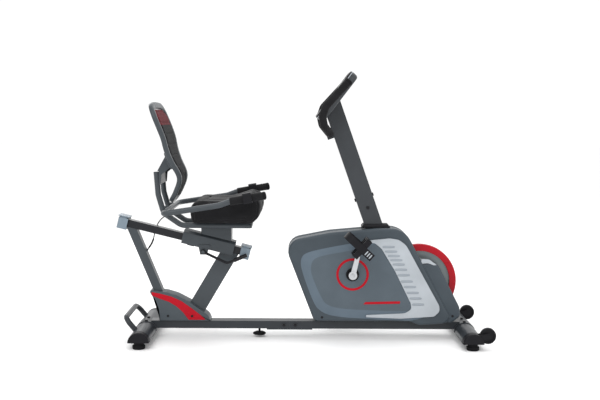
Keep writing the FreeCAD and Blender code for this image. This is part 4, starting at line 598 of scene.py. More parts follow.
def start_of(outline, sign):
    """How far out each point of a shell starts: at the seam, or beside the flywheel."""
    centre = Vector((FLYWHEEL_CENTRE.x, FLYWHEEL_CENTRE.z))
    return [sign * (FLYWHEEL_ROOM_HALF_WIDTH if (point - centre).length < FLYWHEEL_ROOM_RADIUS else SEAM)
            for point in outline]


print("casing outline points:", len(CASING), "guard:", len(GUARD))

# %% Casing shells
for side, sign in SIDES.items():
    for label, outline, half_width, edge in (("shell", CASING, CASING_HALF_WIDTH, CASING_EDGE),
                                             ("guard", GUARD, GUARD_HALF_WIDTH, GUARD_EDGE)):
        form = panel("casing_%s_%s" % (label, side), outline, start_of(outline, sign), sign * half_width,
                     edge, "casing_plastic")
        thicken(form, SHELL_WALL)
        if label == "shell":
            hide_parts("casing_%s_shell" % side)
        print(form.name, "faces:", len(form.data.polygons))

# %% [markdown]
# ## The raised panel on each side
# Inside the shell's dark border a lighter band slopes up to a flat panel.  The slope is what makes the
# side look deep, because it catches light from above and behind.  Band and panel are the same plastic,
# so the band's lighter colour is painted light for that slope.  Band and panel are one skin between
# two matched loops, so the band can be wide at the back and run out to nothing at the front.

# %% Sloping band and flat panel
BAND_FOOT_Y = CASING_HALF_WIDTH - 0.0004
PANEL_Y = CASING_HALF_WIDTH + 0.0055
# Matched points in millimetres: foot of the slope, then its top, going round from the trim's top.
BAND_PAIRS = [
    ((392, 462), (360, 446)), ((313, 462), (313, 440)), ((203, 444), (206, 412)), ((99, 424), (118, 396)),
    ((25, 405), (62, 379)), ((-3, 385), (43, 357)), ((-9, 350), (39, 322)), ((2, 303), (49, 285)),
    ((25, 238), (68, 238)), ((46, 185), (88, 198)), ((70, 145), (108, 170)), ((114, 118), (148, 153)),
    ((190, 104), (207, 145)), ((295, 98), (294, 141)), ((411, 94), (411, 136)), ((510, 93), (500, 138)),
    ((575, 120), (530, 150)), ((560, 180), (522, 182)), ((480, 330), (450, 326)), ((430, 430), (395, 420))]
BAND_STEPS = 4


def band_and_panel(side, sign):
    """The slope and the flat panel inside it as one skin with two finishes; the slope's is painted light."""
    foot = smooth_loop(metres([pair[0] for pair in BAND_PAIRS]))
    top = smooth_loop(metres([pair[1] for pair in BAND_PAIRS]))
    rings = []
    for step in range(BAND_STEPS + 1):
        share = step / BAND_STEPS
        rise = math.sin(math.radians(90) * share)
        ring = [low.lerp(high, share) for low, high in zip(foot, top)]
        rings.append(at_side(ring, sign * (BAND_FOOT_Y + (PANEL_Y - BAND_FOOT_Y) * rise)))
    points, faces = skin(rings)
    # Slope faces take the lighter band finish, which is painted light; the last face, the flat panel, takes
    # the panel finish.
    numbers = [1] * (len(faces) - 1) + [0]
    return new_piece("casing_panel_" + side, points, faces, ["casing_panel", "casing_band_painted_light"], "frame",
                     math.radians(10), numbers)


for side, sign in SIDES.items():
    band_and_panel(side, sign)
print("panel stands", round((PANEL_Y - CASING_HALF_WIDTH) * 1000, 1), "mm proud of the shell")

# %% [markdown]
# ## Silver trim
# A silver moulding in the form of a J lies over the panel's front edge.  Twelve short ribs cross its
# inner half.  Each rib is a small rounded bar sunk into the moulding, so it shades like an embossed
# mark without cutting the surface.  The ribs wear a darker copy of the silver, which is painted shade,
# because the bars alone shade too weakly to read as grooves.

# %% Silver moulding
TRIM_Y = PANEL_Y + 0.0035
TRIM_EDGE = 0.0012
TRIM = rounded(metres([
    (302, 452, 2.5), (330, 447, 20), (358, 424, 40), (421, 321, 200), (494, 174, 20), (499, 146, 18),
    (470, 127, 40), (312, 119, 8), (292, 118, 2.4), (292, 108, 2.4), (312, 107, 8), (448, 102, 90),
    (603, 112, 25), (628, 137, 22), (625, 163, 40), (559, 280, 200), (470, 440, 70), (437, 464, 40),
    (396, 471, 60), (302, 461, 2.5)]))
for side, sign in SIDES.items():
    trim = panel("trim_" + side, divided(TRIM, 0.012), sign * BAND_FOOT_Y, sign * TRIM_Y, TRIM_EDGE,
                 "silver_plastic")
    if side == "right":
        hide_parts("trim_bands")
print("trim outline points:", len(TRIM))

# %% Ribs on the trim
RIB_STARTS = metres([(352, 432), (364, 411), (376, 391), (388, 372), (399, 352), (410, 328), (422, 303),
                     (437, 274), (452, 249), (465, 222), (478, 196), (490, 168)])
RIB_INSET = 0.010
RIB_LENGTH = 0.056
RIB_HALF_WIDTH = 0.0058
RIB_RISE = 0.0030
RIB_SINK = 0.0002
RIB_SPANS = 14
RIB_BLUNTNESS = 0.35
HALF_ROUND_STEPS = 8


def half_round(place_at):
    """A half ring of points: place_at gives each one from its share across and its share up."""
    angles = [math.radians(180) * step / HALF_ROUND_STEPS for step in range(HALF_ROUND_STEPS + 1)]
    return [place_at(math.cos(angle), math.sin(angle)) for angle in angles]


def rib(start, sign):
    """A low bar with round ends that lies along X: rings across it shrink towards both ends."""
    rings = []
    for span in range(RIB_SPANS + 1):
        along = math.radians(90) * (-1 + 2 * span / RIB_SPANS)
        x = start[0] + RIB_INSET + RIB_LENGTH * (1 + math.sin(along)) / 2
        swell = max(0.02, math.cos(along)) ** RIB_BLUNTNESS
        rings.append(half_round(lambda across, up: Vector((
            x, sign * (TRIM_Y - RIB_SINK + RIB_RISE * swell * up),
            start[1] + RIB_HALF_WIDTH * swell * across))))
    return skin(rings, True, True)


# The ribs take the darker silver finish, which is painted shade.
for side, sign in SIDES.items():
    add_piece("trim_ribs_" + side, [rib(start, sign) for start in RIB_STARTS], "rib_silver_painted_shade")
print("ribs on each side:", len(RIB_STARTS))

# %% [markdown]
# ## Round pieces
# Rings, hub covers and screw heads are all turned shapes: a half section spun round an axis.  One
# helper spins a profile of (radius, distance along the axis) points, and takes the axis as a
# direction, so that it serves the crank as well as the tips of slanting bars.

# %% Spinning a profile
TURN_STEPS = 64


def spun(profile, centre, axis, steps=TURN_STEPS):
    """Points and faces of a profile turned round an axis through the centre."""
    axis = Vector(axis).normalized()
    side = axis.orthogonal().normalized()
    other = axis.cross(side)
    angles = [2 * math.pi * step / steps for step in range(steps)]
    rays = [side * math.cos(angle) + other * math.sin(angle) for angle in angles]
    rings = [[Vector(centre) + axis * height + ray * radius for ray in rays] for radius, height in profile]
    closed = profile[0][0] > 1e-6 and profile[0] == profile[-1]
    return skin(rings, profile[0][0] <= 1e-4, profile[-1][0] <= 1e-4 and not closed)


CRANK_CENTRE = Vector((0.228, 0, 0.3045))
RING_OUTER, RING_INNER = 0.074, 0.0635


def flat_ring(inner, outer, height, lip=0.0006):
    """Half section of a low ring with rounded shoulders, closed on itself."""
    return [(inner, 0), (inner, height - lip), (inner + lip, height), (outer - lip, height),
            (outer, height - lip), (outer, 0), (inner, 0)]


for side, sign in SIDES.items():
    centre = (CRANK_CENTRE.x, sign * (PANEL_Y - 0.0002), CRANK_CENTRE.z)
    ring = spun(flat_ring(RING_INNER, RING_OUTER, 0.0016), centre, (0, sign, 0))
    add_piece("red_ring_" + side, [ring], "accent_red")
print("red ring:", RING_INNER, "to", RING_OUTER)

# %% Hub covers that turn with the crank
HUB_PROFILE = [(0.0102, 0.0), (0.030, 0.0), (0.030, 0.0035), (0.0285, 0.0050), (0.024, 0.0052),
               (0.022, 0.0035), (0.0185, 0.0035), (0.0165, 0.0105), (0.0145, 0.0125), (0.0102, 0.0125),
               (0.0102, 0.0)]
for side, sign in SIDES.items():
    centre = (CRANK_CENTRE.x, sign * (PANEL_Y + 0.0004), CRANK_CENTRE.z)
    add_piece("hub_cover_" + side, [spun(HUB_PROFILE, centre, (0, sign, 0))],
                                "black_plastic", "crank")
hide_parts("crank_hub_plates")

# %% [markdown]
# ## Floor
# A wide pale sheet stands in for a studio floor.  It has a very faint unevenness, so soft shadows fall
# on something that isn't perfectly blank.  It isn't part of the bike.

# %% Studio floor
FLOOR_REACH = 30.0
FLOOR_LEVEL = -0.0002


def add_floor():
    finish, tree, shader, place = new_finish("studio_floor")
    drift_colour(tree, shader, add_noise(tree, place, 1.5, 2), (0.95, 0.95, 0.95), (0.97, 0.97, 0.97))
    shader.inputs["Roughness"].default_value = 0.9
    mesh = bpy.data.meshes.new("studio_floor")
    corners = [(-1, -1), (1, -1), (1, 1), (-1, 1)]
    mesh.from_pydata([(x * FLOOR_REACH, y * FLOOR_REACH, FLOOR_LEVEL) for x, y in corners], [],
                     [(0, 1, 2, 3)])
    mesh.materials.append(finish)
    floor = bpy.data.objects.new("studio_floor", mesh)
    bpy.context.collection.objects.link(floor)


add_floor()
print("floor reaches", FLOOR_REACH, "m each way")

# %% [markdown]
# ## Sensor cord
# A thin signal cord leaves the left back tube, hangs behind the seat and goes into the rear strut.  Its
# real length is fixed, so it is one smooth spline through the same route as the engineered cord.  A
# NURBS spline suits a cord, because its points only pull on the line and never put a kink in it.

# %% Cord
CORD_ROUTE = metres([(-636, 78, 556), (-650, 72, 546), (-664, 62, 533), (-674, 51, 516), (-681, 44, 497),
                     (-686, 40, 476), (-690, 38, 455), (-695, 34, 436), (-703, 26, 420), (-711, 15, 408),
                     (-714, 7, 403)])
CORD_DIAMETER = 0.005
# The sleeve starts at this share of the cord's length, and ends this many points before its end.
SLEEVE_FROM = 0.62
SLEEVE_END_GAP = 4
SLEEVE_WALL = 0.0016
SLEEVE_SIDES = 12


def route_curve(name, radius):
    """The cord's line as one NURBS spline.  Order and end points are set once its points are in."""
    curve = bpy.data.curves.new(name, "CURVE")
    curve.dimensions = "3D"
    curve.bevel_depth = radius
    curve.bevel_resolution = 4
    curve.use_fill_caps = radius > 0
    spline = curve.splines.new("NURBS")
    spline.points.add(len(CORD_ROUTE) - 1)
    for point, place in zip(spline.points, CORD_ROUTE):
        point.co = (*place, 1)
    spline.order_u = 3
    spline.use_endpoint_u = True
    spline.resolution_u = 12
    cord = bpy.data.objects.new(name, curve)
    bpy.context.collection.objects.link(cord)
    return cord


def line_points():
    """Points along the cord's middle line, read from the spline itself."""
    line = route_curve("sensor_lead_line", 0)
    mesh = bpy.data.meshes.new_from_object(line)
    points = [vertex.co.copy() for vertex in mesh.vertices]
    bpy.data.objects.remove(line)
    return points


def add_sleeve():
    """The thicker braided sleeve on the cord's lower part, drawn in at both of its ends."""
    points = line_points()
    points = points[int(len(points) * SLEEVE_FROM):-SLEEVE_END_GAP]
    rings = []
    for index, place in enumerate(points):
        ahead = (points[min(index + 1, len(points) - 1)] - points[max(index - 1, 0)]).normalized()
        side = ahead.cross(Vector((0, 1, 0))).normalized()
        other = ahead.cross(side)
        share = index / (len(points) - 1)
        radius = CORD_DIAMETER / 2 + SLEEVE_WALL * min(1.0, 8 * share, 8 * (1 - share) + 0.2)
        angles = [2 * math.pi * step / SLEEVE_SIDES for step in range(SLEEVE_SIDES)]
        rings.append([place + (side * math.cos(angle) + other * math.sin(angle)) * radius
                      for angle in angles])
    return add_piece("sensor_lead_sleeve", [skin(rings, True, True)], "webbing", "carriage")


def add_cord():
    cord = route_curve("sensor_lead", CORD_DIAMETER / 2)
    cord.data.materials.append(FINISHES["rubber"])
    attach(cord, "carriage")
    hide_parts("sensor_cord")
    add_sleeve()
    return cord


print("cord points:", len(add_cord().data.splines[0].points))

# %% [markdown]
# ## Small marks on the casing
# A red stripe and dark screw heads break up the big panels.  A silver crescent on the flywheel guard is
# a painted highlight: the bright arc that the flywheel's raised hub plate reflects.  Each one is a thin
# moulding a millimetre or so proud of its panel, as if stuck or pressed in place.

# %% Red stripe and painted highlight crescent
STRIPE = rounded(metres([(279, 167, 0.6), (445, 171, 1.2), (447, 182, 1.2), (288, 178, 0.6)]))
# Painted highlight: the bright arc that the flywheel's hub plate reflects, laid on as a silver mark.
HIGHLIGHT_CRESCENT = rounded(metres([(542, 353, 1), (571, 356, 30), (600, 346, 1.2), (613, 347, 1.2), (577, 374, 30),
                           (542, 374, 1)]))
MARK_RISE = 0.0011


def as_ccw(outline):
    """The outline in counter-clockwise order, which drawing it inwards relies on."""
    area = sum(a.x * b.y - b.x * a.y for a, b in zip(outline, outline[1:] + outline[:1]))
    return outline if area > 0 else list(reversed(outline))


for side, sign in SIDES.items():
    marks = [("stripe_", STRIPE, PANEL_Y, "accent_red", "rim_paint"),
             # The crescent is a painted highlight, not a trim piece.
             ("highlight_crescent_", HIGHLIGHT_CRESCENT, GUARD_HALF_WIDTH, "silver_plastic", "silver_plastic")]
    for label, outline, base, finish, slot in marks:
        mark = panel(label + side, divided(as_ccw(outline), 0.008), sign * (base - 0.0006),
                     sign * (base + MARK_RISE), 0.0005, finish)
print("marks on each side:", len(marks))

# %% Screw heads on the casing
SCREW_PROFILE = [(0.0058, -0.001), (0.0058, 0.0006), (0.0050, 0.0014), (0.0030, 0.0016), (0.0026, 0.0002),
                 (0.0, 0.0002)]
CASING_SCREWS = metres([(91, 105), (690, 111)])


def screw_heads(name, places, outer_y):
    """Recessed round heads on both sides of the bike."""
    parts = [spun(SCREW_PROFILE, (x, sign * reach, z), (0, sign, 0), 20)
             for (x, z), reach in zip(places, outer_y) for sign in SIDES.values()]
    return add_piece(name, parts, "bolt_steel")


screw_heads("casing_screws", CASING_SCREWS, [CASING_HALF_WIDTH, GUARD_HALF_WIDTH])
print("screw heads:", 2 * len(CASING_SCREWS))

# %% [markdown]
# ## Shroud at the foot of the struts
# Two mirrored covers hide where the struts meet the beam.  Their top edge sweeps down like a fin, and
# a red stripe follows it.  Each cover is the same kind of rolled panel as the casing, only narrower.

# %% Shroud covers, stripe and screws
SHROUD_HALF_WIDTH = 0.042
SHROUD_EDGE = 0.004
SHROUD = divided(rounded(metres([
    (-655, 79.5, 3), (-420, 79.5, 2), (-430, 103, 20), (-459, 127, 60), (-518, 168, 80), (-576, 198, 80),
    (-623, 212, 60), (-681, 219, 40), (-698, 221, 4), (-697, 208, 4), (-675, 173, 60),
    (-661, 132, 60)])), 0.010)
SHROUD_STRIPE = divided(rounded(metres([
    (-521, 85, 2), (-442, 85, 2), (-465, 106, 20), (-506, 138, 60), (-553, 171, 60), (-599, 192, 60),
    (-652, 206, 40), (-692, 213, 2), (-688, 197, 2), (-652, 182, 40), (-611, 168, 60), (-576, 147, 60),
    (-547, 120, 40)])), 0.008)
SHROUD_SCREWS = metres([(-616, 102), (-505, 102)])
for side, sign in SIDES.items():
    cover = panel("rear_shroud_" + side + "_cover", SHROUD, sign * SEAM, sign * SHROUD_HALF_WIDTH,
                  SHROUD_EDGE, "shroud_plastic")
    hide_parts("rear_shroud_" + side)
    stripe = panel("shroud_stripe_" + side, as_ccw(SHROUD_STRIPE), sign * (SHROUD_HALF_WIDTH - 0.0006),
                   sign * (SHROUD_HALF_WIDTH + 0.0012), 0.0006, "accent_red")
screw_heads("shroud_screws", SHROUD_SCREWS, [SHROUD_HALF_WIDTH, SHROUD_HALF_WIDTH + 0.0012])
print("shroud outline points:", len(SHROUD))

# %% [markdown]
# ## Inflating a pad
# A cover sewn round foam is tighter over the middle than at its seams.  Blender's cloth simulation
# finds that form by itself: the closed skin is blown up gently, with no gravity, and each point may move
# only so far.  Seams and sewn channels are pressed in afterwards, because remeshing would wipe them out.

# %% Cloth helpers
INFLATE_FRAMES = 20
AIR_PRESSURE = 4.0


def evaluated_mesh(piece):
    """The piece's mesh as its modifiers leave it."""
    graph = bpy.context.evaluated_depsgraph_get()
    graph.update()
    return bpy.data.meshes.new_from_object(piece.evaluated_get(graph))


def remeshed(piece, voxel):
    """Give the piece an even mesh, which cloth needs to stretch alike everywhere."""
    voxels = piece.modifiers.new("even_mesh", "REMESH")
    voxels.mode = "VOXEL"
    voxels.voxel_size = voxel
    mesh = evaluated_mesh(piece)
    piece.modifiers.clear()
    piece.data = mesh
    return piece


def inflated(piece, cap):
    """Blow the closed piece up like a tight cover, no point further than the cap."""
    cloth = piece.modifiers.new("cover", "CLOTH")
    cloth.settings.quality = 5
    cloth.settings.mass = 0.3
    cloth.settings.use_pressure = True
    cloth.settings.uniform_pressure_force = AIR_PRESSURE
    cloth.settings.effector_weights.gravity = 0
    cloth.point_cache.frame_start = 1
    cloth.point_cache.frame_end = INFLATE_FRAMES
    for number in range(1, INFLATE_FRAMES + 1):
        bpy.context.scene.frame_set(number)
    blown = evaluated_mesh(piece)
    piece.modifiers.clear()
    for vertex, target in zip(piece.data.vertices, blown.vertices):
        move = target.co - vertex.co
        if move.length > cap:
            move *= cap / move.length
        vertex.co += move
    bpy.context.scene.frame_set(1)
    return piece


def subdivided(piece):
    """One smooth subdivision, applied, so that seams have enough points to be pressed into."""
    smooth = piece.modifiers.new("smooth", "SUBSURF")
    smooth.levels = smooth.render_levels = 1
    mesh = evaluated_mesh(piece)
    piece.modifiers.clear()
    piece.data = mesh
    return piece


def pressed_in(piece, depth_at):
    """Move each point along its normal by what depth_at says for its place and normal."""
    normals = [vertex.normal.copy() for vertex in piece.data.vertices]
    for vertex, normal in zip(piece.data.vertices, normals):
        vertex.co -= normal * depth_at(vertex.co, normal)
    piece.data.update()
    piece.data.shade_smooth()
    return piece


def groove(distance, width):
    """A smooth furrow: 1 on its line and almost nothing two widths away."""
    return math.exp(-(distance / width) ** 2)


print("cloth frames:", INFLATE_FRAMES)

# %% [markdown]
# ## Seat cushion
# The seat is a thick moulded cushion that rises at the front edge.  It starts as a side profile pulled
# across the seat's width, with corners drawn in, and is then inflated.  A seam runs round each side, and
# two sewn channels with a cross channel mark the part that is sat on.  Its underside stays flat, because
# it is screwed to two bars.

# %% Seat cushion
SEAT_PROFILE = divided(drawn_in(rounded(metres([
    (-508, 546, 14), (-213, 546, 30), (-180, 578, 30), (-175, 636, 40), (-188, 674, 16), (-222, 674, 40),
    (-325, 640, 120), (-492, 643, 22), (-510, 620, 16)])), 0.006), 0.010)
SEAT_HALF_WIDTH = 0.209
SEAT_SIDE_ROUNDING = 0.030
SEAT_MIDDLE_X = -0.342
SEAT_FLOOR = 0.5463
SEAT_RINGS = 28
SEAT_CAP = 0.010
SEAT_VOXEL = 0.0055
SEAT_SEAM_Y, SEAT_SEAM_DEPTH, SEAT_SEAM_WIDTH = 0.192, 0.0030, 0.0040
SEAT_CHANNEL_Y, SEAT_CHANNEL_DEPTH, SEAT_CHANNEL_WIDTH = 0.088, 0.0055, 0.0060
SEAT_CHANNEL_END_X, SEAT_CHANNEL_FADE, SEAT_CROSS_X = -0.215, 0.02, -0.430


def seat_rings():
    """Side profiles across the seat, drawn in near its two sides and at its plan corners."""
    rings = []
    for step in range(SEAT_RINGS + 1):
        share = math.sin(math.radians(90) * (2 * step / SEAT_RINGS - 1))
        y = share * SEAT_HALF_WIDTH
        past = max(0.0, abs(y) - (SEAT_HALF_WIDTH - SEAT_SIDE_ROUNDING)) / SEAT_SIDE_ROUNDING
        inset = SEAT_SIDE_ROUNDING * 0.8 * (1 - math.sqrt(max(0.0, 1 - past * past)))
        squeeze = 1 - 0.10 * abs(share) ** 8
        ring = [Vector((SEAT_MIDDLE_X + (point.x - SEAT_MIDDLE_X) * squeeze, point.y))
                for point in drawn_in(SEAT_PROFILE, inset)]
        rings.append(at_side(ring, y))
    return rings


def seat_press(place, normal):
    """Side seams, two lengthwise channels and one across, in metres of depth."""
    across = abs(place.y)
    depth = SEAT_SEAM_DEPTH * groove(across - SEAT_SEAM_Y, SEAT_SEAM_WIDTH)
    if normal.z > 0.3:
        inner = min(1.0, max(0.0, (SEAT_CHANNEL_END_X - place.x) / SEAT_CHANNEL_FADE))
        depth += SEAT_CHANNEL_DEPTH * groove(across - SEAT_CHANNEL_Y, SEAT_CHANNEL_WIDTH) * inner
        if across < SEAT_CHANNEL_Y:
            depth += SEAT_CHANNEL_DEPTH * groove(place.x - SEAT_CROSS_X, SEAT_CHANNEL_WIDTH)
    return depth


def make_seat():
    points, faces = skin(seat_rings(), True, True)
    seat = new_piece("seat_cushion_cover", points, faces, [], "carriage")
    subdivided(inflated(remeshed(seat, SEAT_VOXEL), SEAT_CAP))
    pressed_in(seat, seat_press)
    for vertex in seat.data.vertices:
        vertex.co.z = max(vertex.co.z, SEAT_FLOOR)
    seat.data.materials.append(FINISHES["cushion_cover"])
    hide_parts("seat_cushion")
    return seat


print("seat cushion points:", len(make_seat().data.vertices))

# %% [markdown]
# ## Backrest
# The backrest is a moulded hoop, bent in side view like a spine, with a padded mesh cover stretched
# inside it.  In front view the hoop is widest near the shoulders and narrow at the waist.  One middle
# line gives the depth for every height, and both the hoop and the pad follow it.

# %% Backrest line and outline
SEAT_POST_X = -0.393
BACK_LOW, BACK_HIGH = 0.626, 1.078
BACK_HALF_WIDTH = 0.200
# Middle line: millimetres forward of the seat post, at a share of the backrest's height.
BACK_LINE = [(-207, 0.0), (-178, 0.11), (-158, 0.26), (-190, 0.42), (-208, 0.53), (-222, 0.66),
             (-262, 0.885), (-284, 1.0)]
HOOP_HALF_RIM, HOOP_HALF_DEPTH = 0.015, 0.011


def back_x(z):
    """Depth of the backrest's middle line at a height, as a smooth curve through its points."""
    share = (z - BACK_LOW) / (BACK_HIGH - BACK_LOW)
    steps = [(SEAT_POST_X + step / 1000, at) for step, at in BACK_LINE]
    index = max(0, min(len(steps) - 2, sum(at <= share for _, at in steps) - 1))
    (start, low), (end, high) = steps[index], steps[index + 1]
    before = steps[max(0, index - 1)]
    after = steps[min(len(steps) - 1, index + 2)]
    t = (share - low) / (high - low)
    slope_start = (end - before[0]) / max(1e-6, high - before[1]) * (high - low)
    slope_end = (after[0] - start) / max(1e-6, after[1] - low) * (high - low)
    return ((2 * t ** 3 - 3 * t ** 2 + 1) * start + (t ** 3 - 2 * t ** 2 + t) * slope_start
            + (3 * t ** 2 - 2 * t ** 3) * end + (t ** 3 - t ** 2) * slope_end)


def back_normal(z):
    """Forward direction square to the backrest's sheet at a height."""
    lean = (back_x(z + 0.002) - back_x(z - 0.002)) / 0.004
    return Vector((1, 0, -lean)).normalized()


def back_outline():
    """Front view of the backrest as a smooth counter-clockwise loop of (y, z) points."""
    half = BACK_HALF_WIDTH
    right = [(half * 0.20, BACK_LOW), (half * 0.47, BACK_LOW + 0.018), (half * 0.60, BACK_LOW + 0.100),
             (half * 0.84, BACK_LOW + 0.210), (half * 0.99, BACK_HIGH - 0.110),
             (half * 0.93, BACK_HIGH - 0.038), (half * 0.70, BACK_HIGH - 0.006), (half * 0.30, BACK_HIGH)]
    return smooth_loop(right + [(-y, z) for y, z in reversed(right)], 8)


def on_back(point, offset):
    """A (y, z) point of the front view, laid on the curved sheet and moved forward by an offset."""
    return Vector((back_x(point.y), point.x, point.y)) + back_normal(point.y) * offset


BACK_OUTLINE = back_outline()
print("backrest outline points:", len(BACK_OUTLINE))

# %% Hoop and spine
HOOP_SECTION_STEPS = 16
HOOP_SQUARENESS = 0.55


def squared(value):
    """A sine or cosine pushed outwards, which turns a circle into a rounded square."""
    return math.copysign(abs(value) ** HOOP_SQUARENESS, value)


def hoop_rings():
    """Rounded-square sections all the way round the outline's middle."""
    middle = [on_back(point, 0) for point in drawn_in(BACK_OUTLINE, HOOP_HALF_RIM)]
    rings = []
    for index, place in enumerate(middle):
        ahead = (middle[(index + 1) % len(middle)] - middle[index - 1]).normalized()
        out = back_normal(place.z)
        across = ahead.cross(out).normalized()
        ring = []
        for step in range(HOOP_SECTION_STEPS):
            angle = 2 * math.pi * step / HOOP_SECTION_STEPS
            ring.append(place + across * (squared(math.cos(angle)) * HOOP_HALF_RIM)
                        + out * (squared(math.sin(angle)) * HOOP_HALF_DEPTH))
        rings.append(ring)
    return rings + [rings[0]]


def spine_rings():
    """A rounded plate across the back of the hoop."""
    outline = divided(rounded([(-0.140, 0.790, 0.012), (0.140, 0.790, 0.012), (0.140, 0.860, 0.012),
                               (-0.140, 0.860, 0.012)]), 0.012)
    levels = [(-0.0105, 0.0), (-0.0165, 0.0), (-0.0185, 0.0012), (-0.0192, 0.0035)]
    return [[on_back(point, offset) for point in drawn_in(outline, inset)] for offset, inset in levels]


hoop = add_piece("backrest_hoop", [skin(hoop_rings(), False, False), skin(spine_rings(), True, True)],
                 "carriage_paint", "carriage")
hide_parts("backrest_frame")
print("hoop faces:", len(hoop.data.polygons))

# %% Backrest pad
PAD_HALF_DEPTH = 0.0062
PAD_LEVELS = (1.0, 0.99, 0.97, 0.93, 0.85, 0.7, 0.45, 0.2, 0.04)
PAD_CAP = 0.007
PAD_VOXEL = 0.005
PAD_CHANNELS = [0.700 + 0.048 * number for number in range(8)]
PAD_CHANNEL_DEPTH, PAD_CHANNEL_WIDTH = 0.0035, 0.0045
# Height above which the front of the pad takes the dark red painted reflection.
REFLECTION_BAND_FROM = BACK_HIGH - 0.100


def pad_rings():
    """The cover's two sides as loops that shrink to the middle, front first and back last."""
    loop = drawn_in(BACK_OUTLINE, 2 * HOOP_HALF_RIM - 0.007)
    centre = Vector((0, (BACK_LOW + BACK_HIGH) / 2))
    sides = [(level, 1) for level in reversed(PAD_LEVELS)] + [(level, -1) for level in PAD_LEVELS[1:]]
    rings = []
    for level, sign in sides:
        thick = PAD_HALF_DEPTH * math.sqrt(max(0.0, 1 - level ** 14))
        rings.append([on_back(centre.lerp(point, level), sign * thick) for point in loop])
    return rings


def pad_press(place, normal):
    """Sewn channels across the front of the pad."""
    if normal.x < 0.2:
        return 0.0
    return sum(PAD_CHANNEL_DEPTH * groove(place.z - height, PAD_CHANNEL_WIDTH) for height in PAD_CHANNELS)


def make_back_pad():
    points, faces = skin(pad_rings(), True, True)
    pad = new_piece("backrest_pad_cover", points, faces, [], "carriage")
    subdivided(inflated(remeshed(pad, PAD_VOXEL), PAD_CAP))
    pressed_in(pad, pad_press)
    for finish in ("mesh", "pad_painted_reflection"):
        pad.data.materials.append(FINISHES[finish])
    # Front faces above that height take the dark red, a painted reflection; the cover itself is black mesh.
    for face in pad.data.polygons:
        face.material_index = int(face.center.z > REFLECTION_BAND_FROM and face.normal.x > 0)
    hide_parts("backrest_pad")
    return pad


print("backrest pad points:", len(make_back_pad().data.vertices))

# %% [markdown]
# ## Console
# The console leans back towards the rider.  Its pieces are drawn on its own plane, with one direction
# up the face and one out of it, and a helper turns those distances into places in the room.  A rounded
# grey case, a silver line and a black bezel with a sunk screen are three skins between matched loops.

# %% Console plane
CONSOLE_FOOT = Vector((0.063, 0, 1.012))
CONSOLE_LEAN = math.radians(52.8)
CONSOLE_UP = Vector((math.cos(CONSOLE_LEAN), 0, math.sin(CONSOLE_LEAN)))
CONSOLE_OUT = Vector((-math.sin(CONSOLE_LEAN), 0, math.cos(CONSOLE_LEAN)))
CONSOLE_LENGTH = 0.258
CONSOLE_HALF_WIDTH = 0.110


def on_console(up, across, out):
    """The place in the room of a point on the console's own plane."""
    return CONSOLE_FOOT + CONSOLE_UP * up + Vector((0, across, 0)) + CONSOLE_OUT * out


def console_loop(low, high, half, radius):
    """A rounded rectangle on the console's plane, as (up, across) points."""
    return rounded([(low, -half, radius), (high, -half, radius), (high, half, radius), (low, half, radius)])


def console_rings(outline, levels):
    """Rings of an outline at several (out, inset) levels."""
    return [[on_console(point.x, point.y, out) for point in drawn_in(outline, inset)]
            for out, inset in levels]


print("console face is", CONSOLE_LENGTH, "m long")

# %% Case, silver line and bezel
CASE_LEVELS = [(-0.0330, 0.016), (-0.0325, 0.010), (-0.0290, 0.005), (-0.0220, 0.0018), (-0.0120, 0.0004),
               (-0.0008, 0.0)]
LINE_LEVELS = [(-0.0008, 0.0), (-0.0008, -0.0009), (0.0012, -0.0009), (0.0020, 0.0)]
BEZEL_LEVELS = [(0.0018, 0.0004), (0.0055, 0.0012), (0.0084, 0.0034), (0.0097, 0.0070), (0.0100, 0.0110)]
face_loop = console_loop(0, CONSOLE_LENGTH, CONSOLE_HALF_WIDTH, 0.034)
case = add_piece("console_case", [skin(console_rings(face_loop, CASE_LEVELS), True, True)], "mast_paint",
                 sharp=math.radians(60))
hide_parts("console_back_shell")

add_piece("console_line", [skin(console_rings(face_loop, LINE_LEVELS), False, False)], "silver_plastic")

screen_loop = console_loop(0.117, 0.232, 0.074, 0.006)
bezel_rings = console_rings(face_loop, BEZEL_LEVELS)
bezel_rings += console_rings(screen_loop, [(0.0100, -0.0012), (0.0092, 0.0), (0.0072, 0.0)])
bezel = add_piece("console_bezel", [skin(bezel_rings, False, False)], "black_plastic",
                  sharp=math.radians(50))
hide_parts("console_face")
print("bezel faces:", len(bezel.data.polygons))

# %% Display plate and button rings
FINISHES["display"] = moulded("display", (0.13, 0.17, 0.15), 0.20, grain=300, depth=0.00002, coat=0.5)
DISPLAY_LEVELS = [(0.0080, 0.0), (0.0087, 0.0), (0.0088, 0.0003)]
display_rings = console_rings(console_loop(0.128, 0.221, 0.062, 0.004), DISPLAY_LEVELS)
add_piece("console_display", [skin(display_rings, False, True)], "display")
BUTTON_UP = 0.0685
BUTTON_PITCH = 0.034
BUTTON_COUNT = 4
BUTTON_RING = [(0.0074, 0.0), (0.0074, 0.0008), (0.0082, 0.0012), (0.0098, 0.0010), (0.0106, 0.0),
               (0.0074, 0.0)]
rings = [spun(BUTTON_RING, on_console(BUTTON_UP, (index - 1.5) * BUTTON_PITCH, 0.0098), CONSOLE_OUT, 32)
         for index in range(BUTTON_COUNT)]
add_piece("button_rings", rings, "silver_plastic")
print("button rings:", len(rings))

# %% [markdown]
# ## Ends of the foam grips
# Each foam sleeve is closed by a domed rubber cap.  The caps are spun about the direction in which
# the bar's last stretch points, so one profile fits all four bar ends.

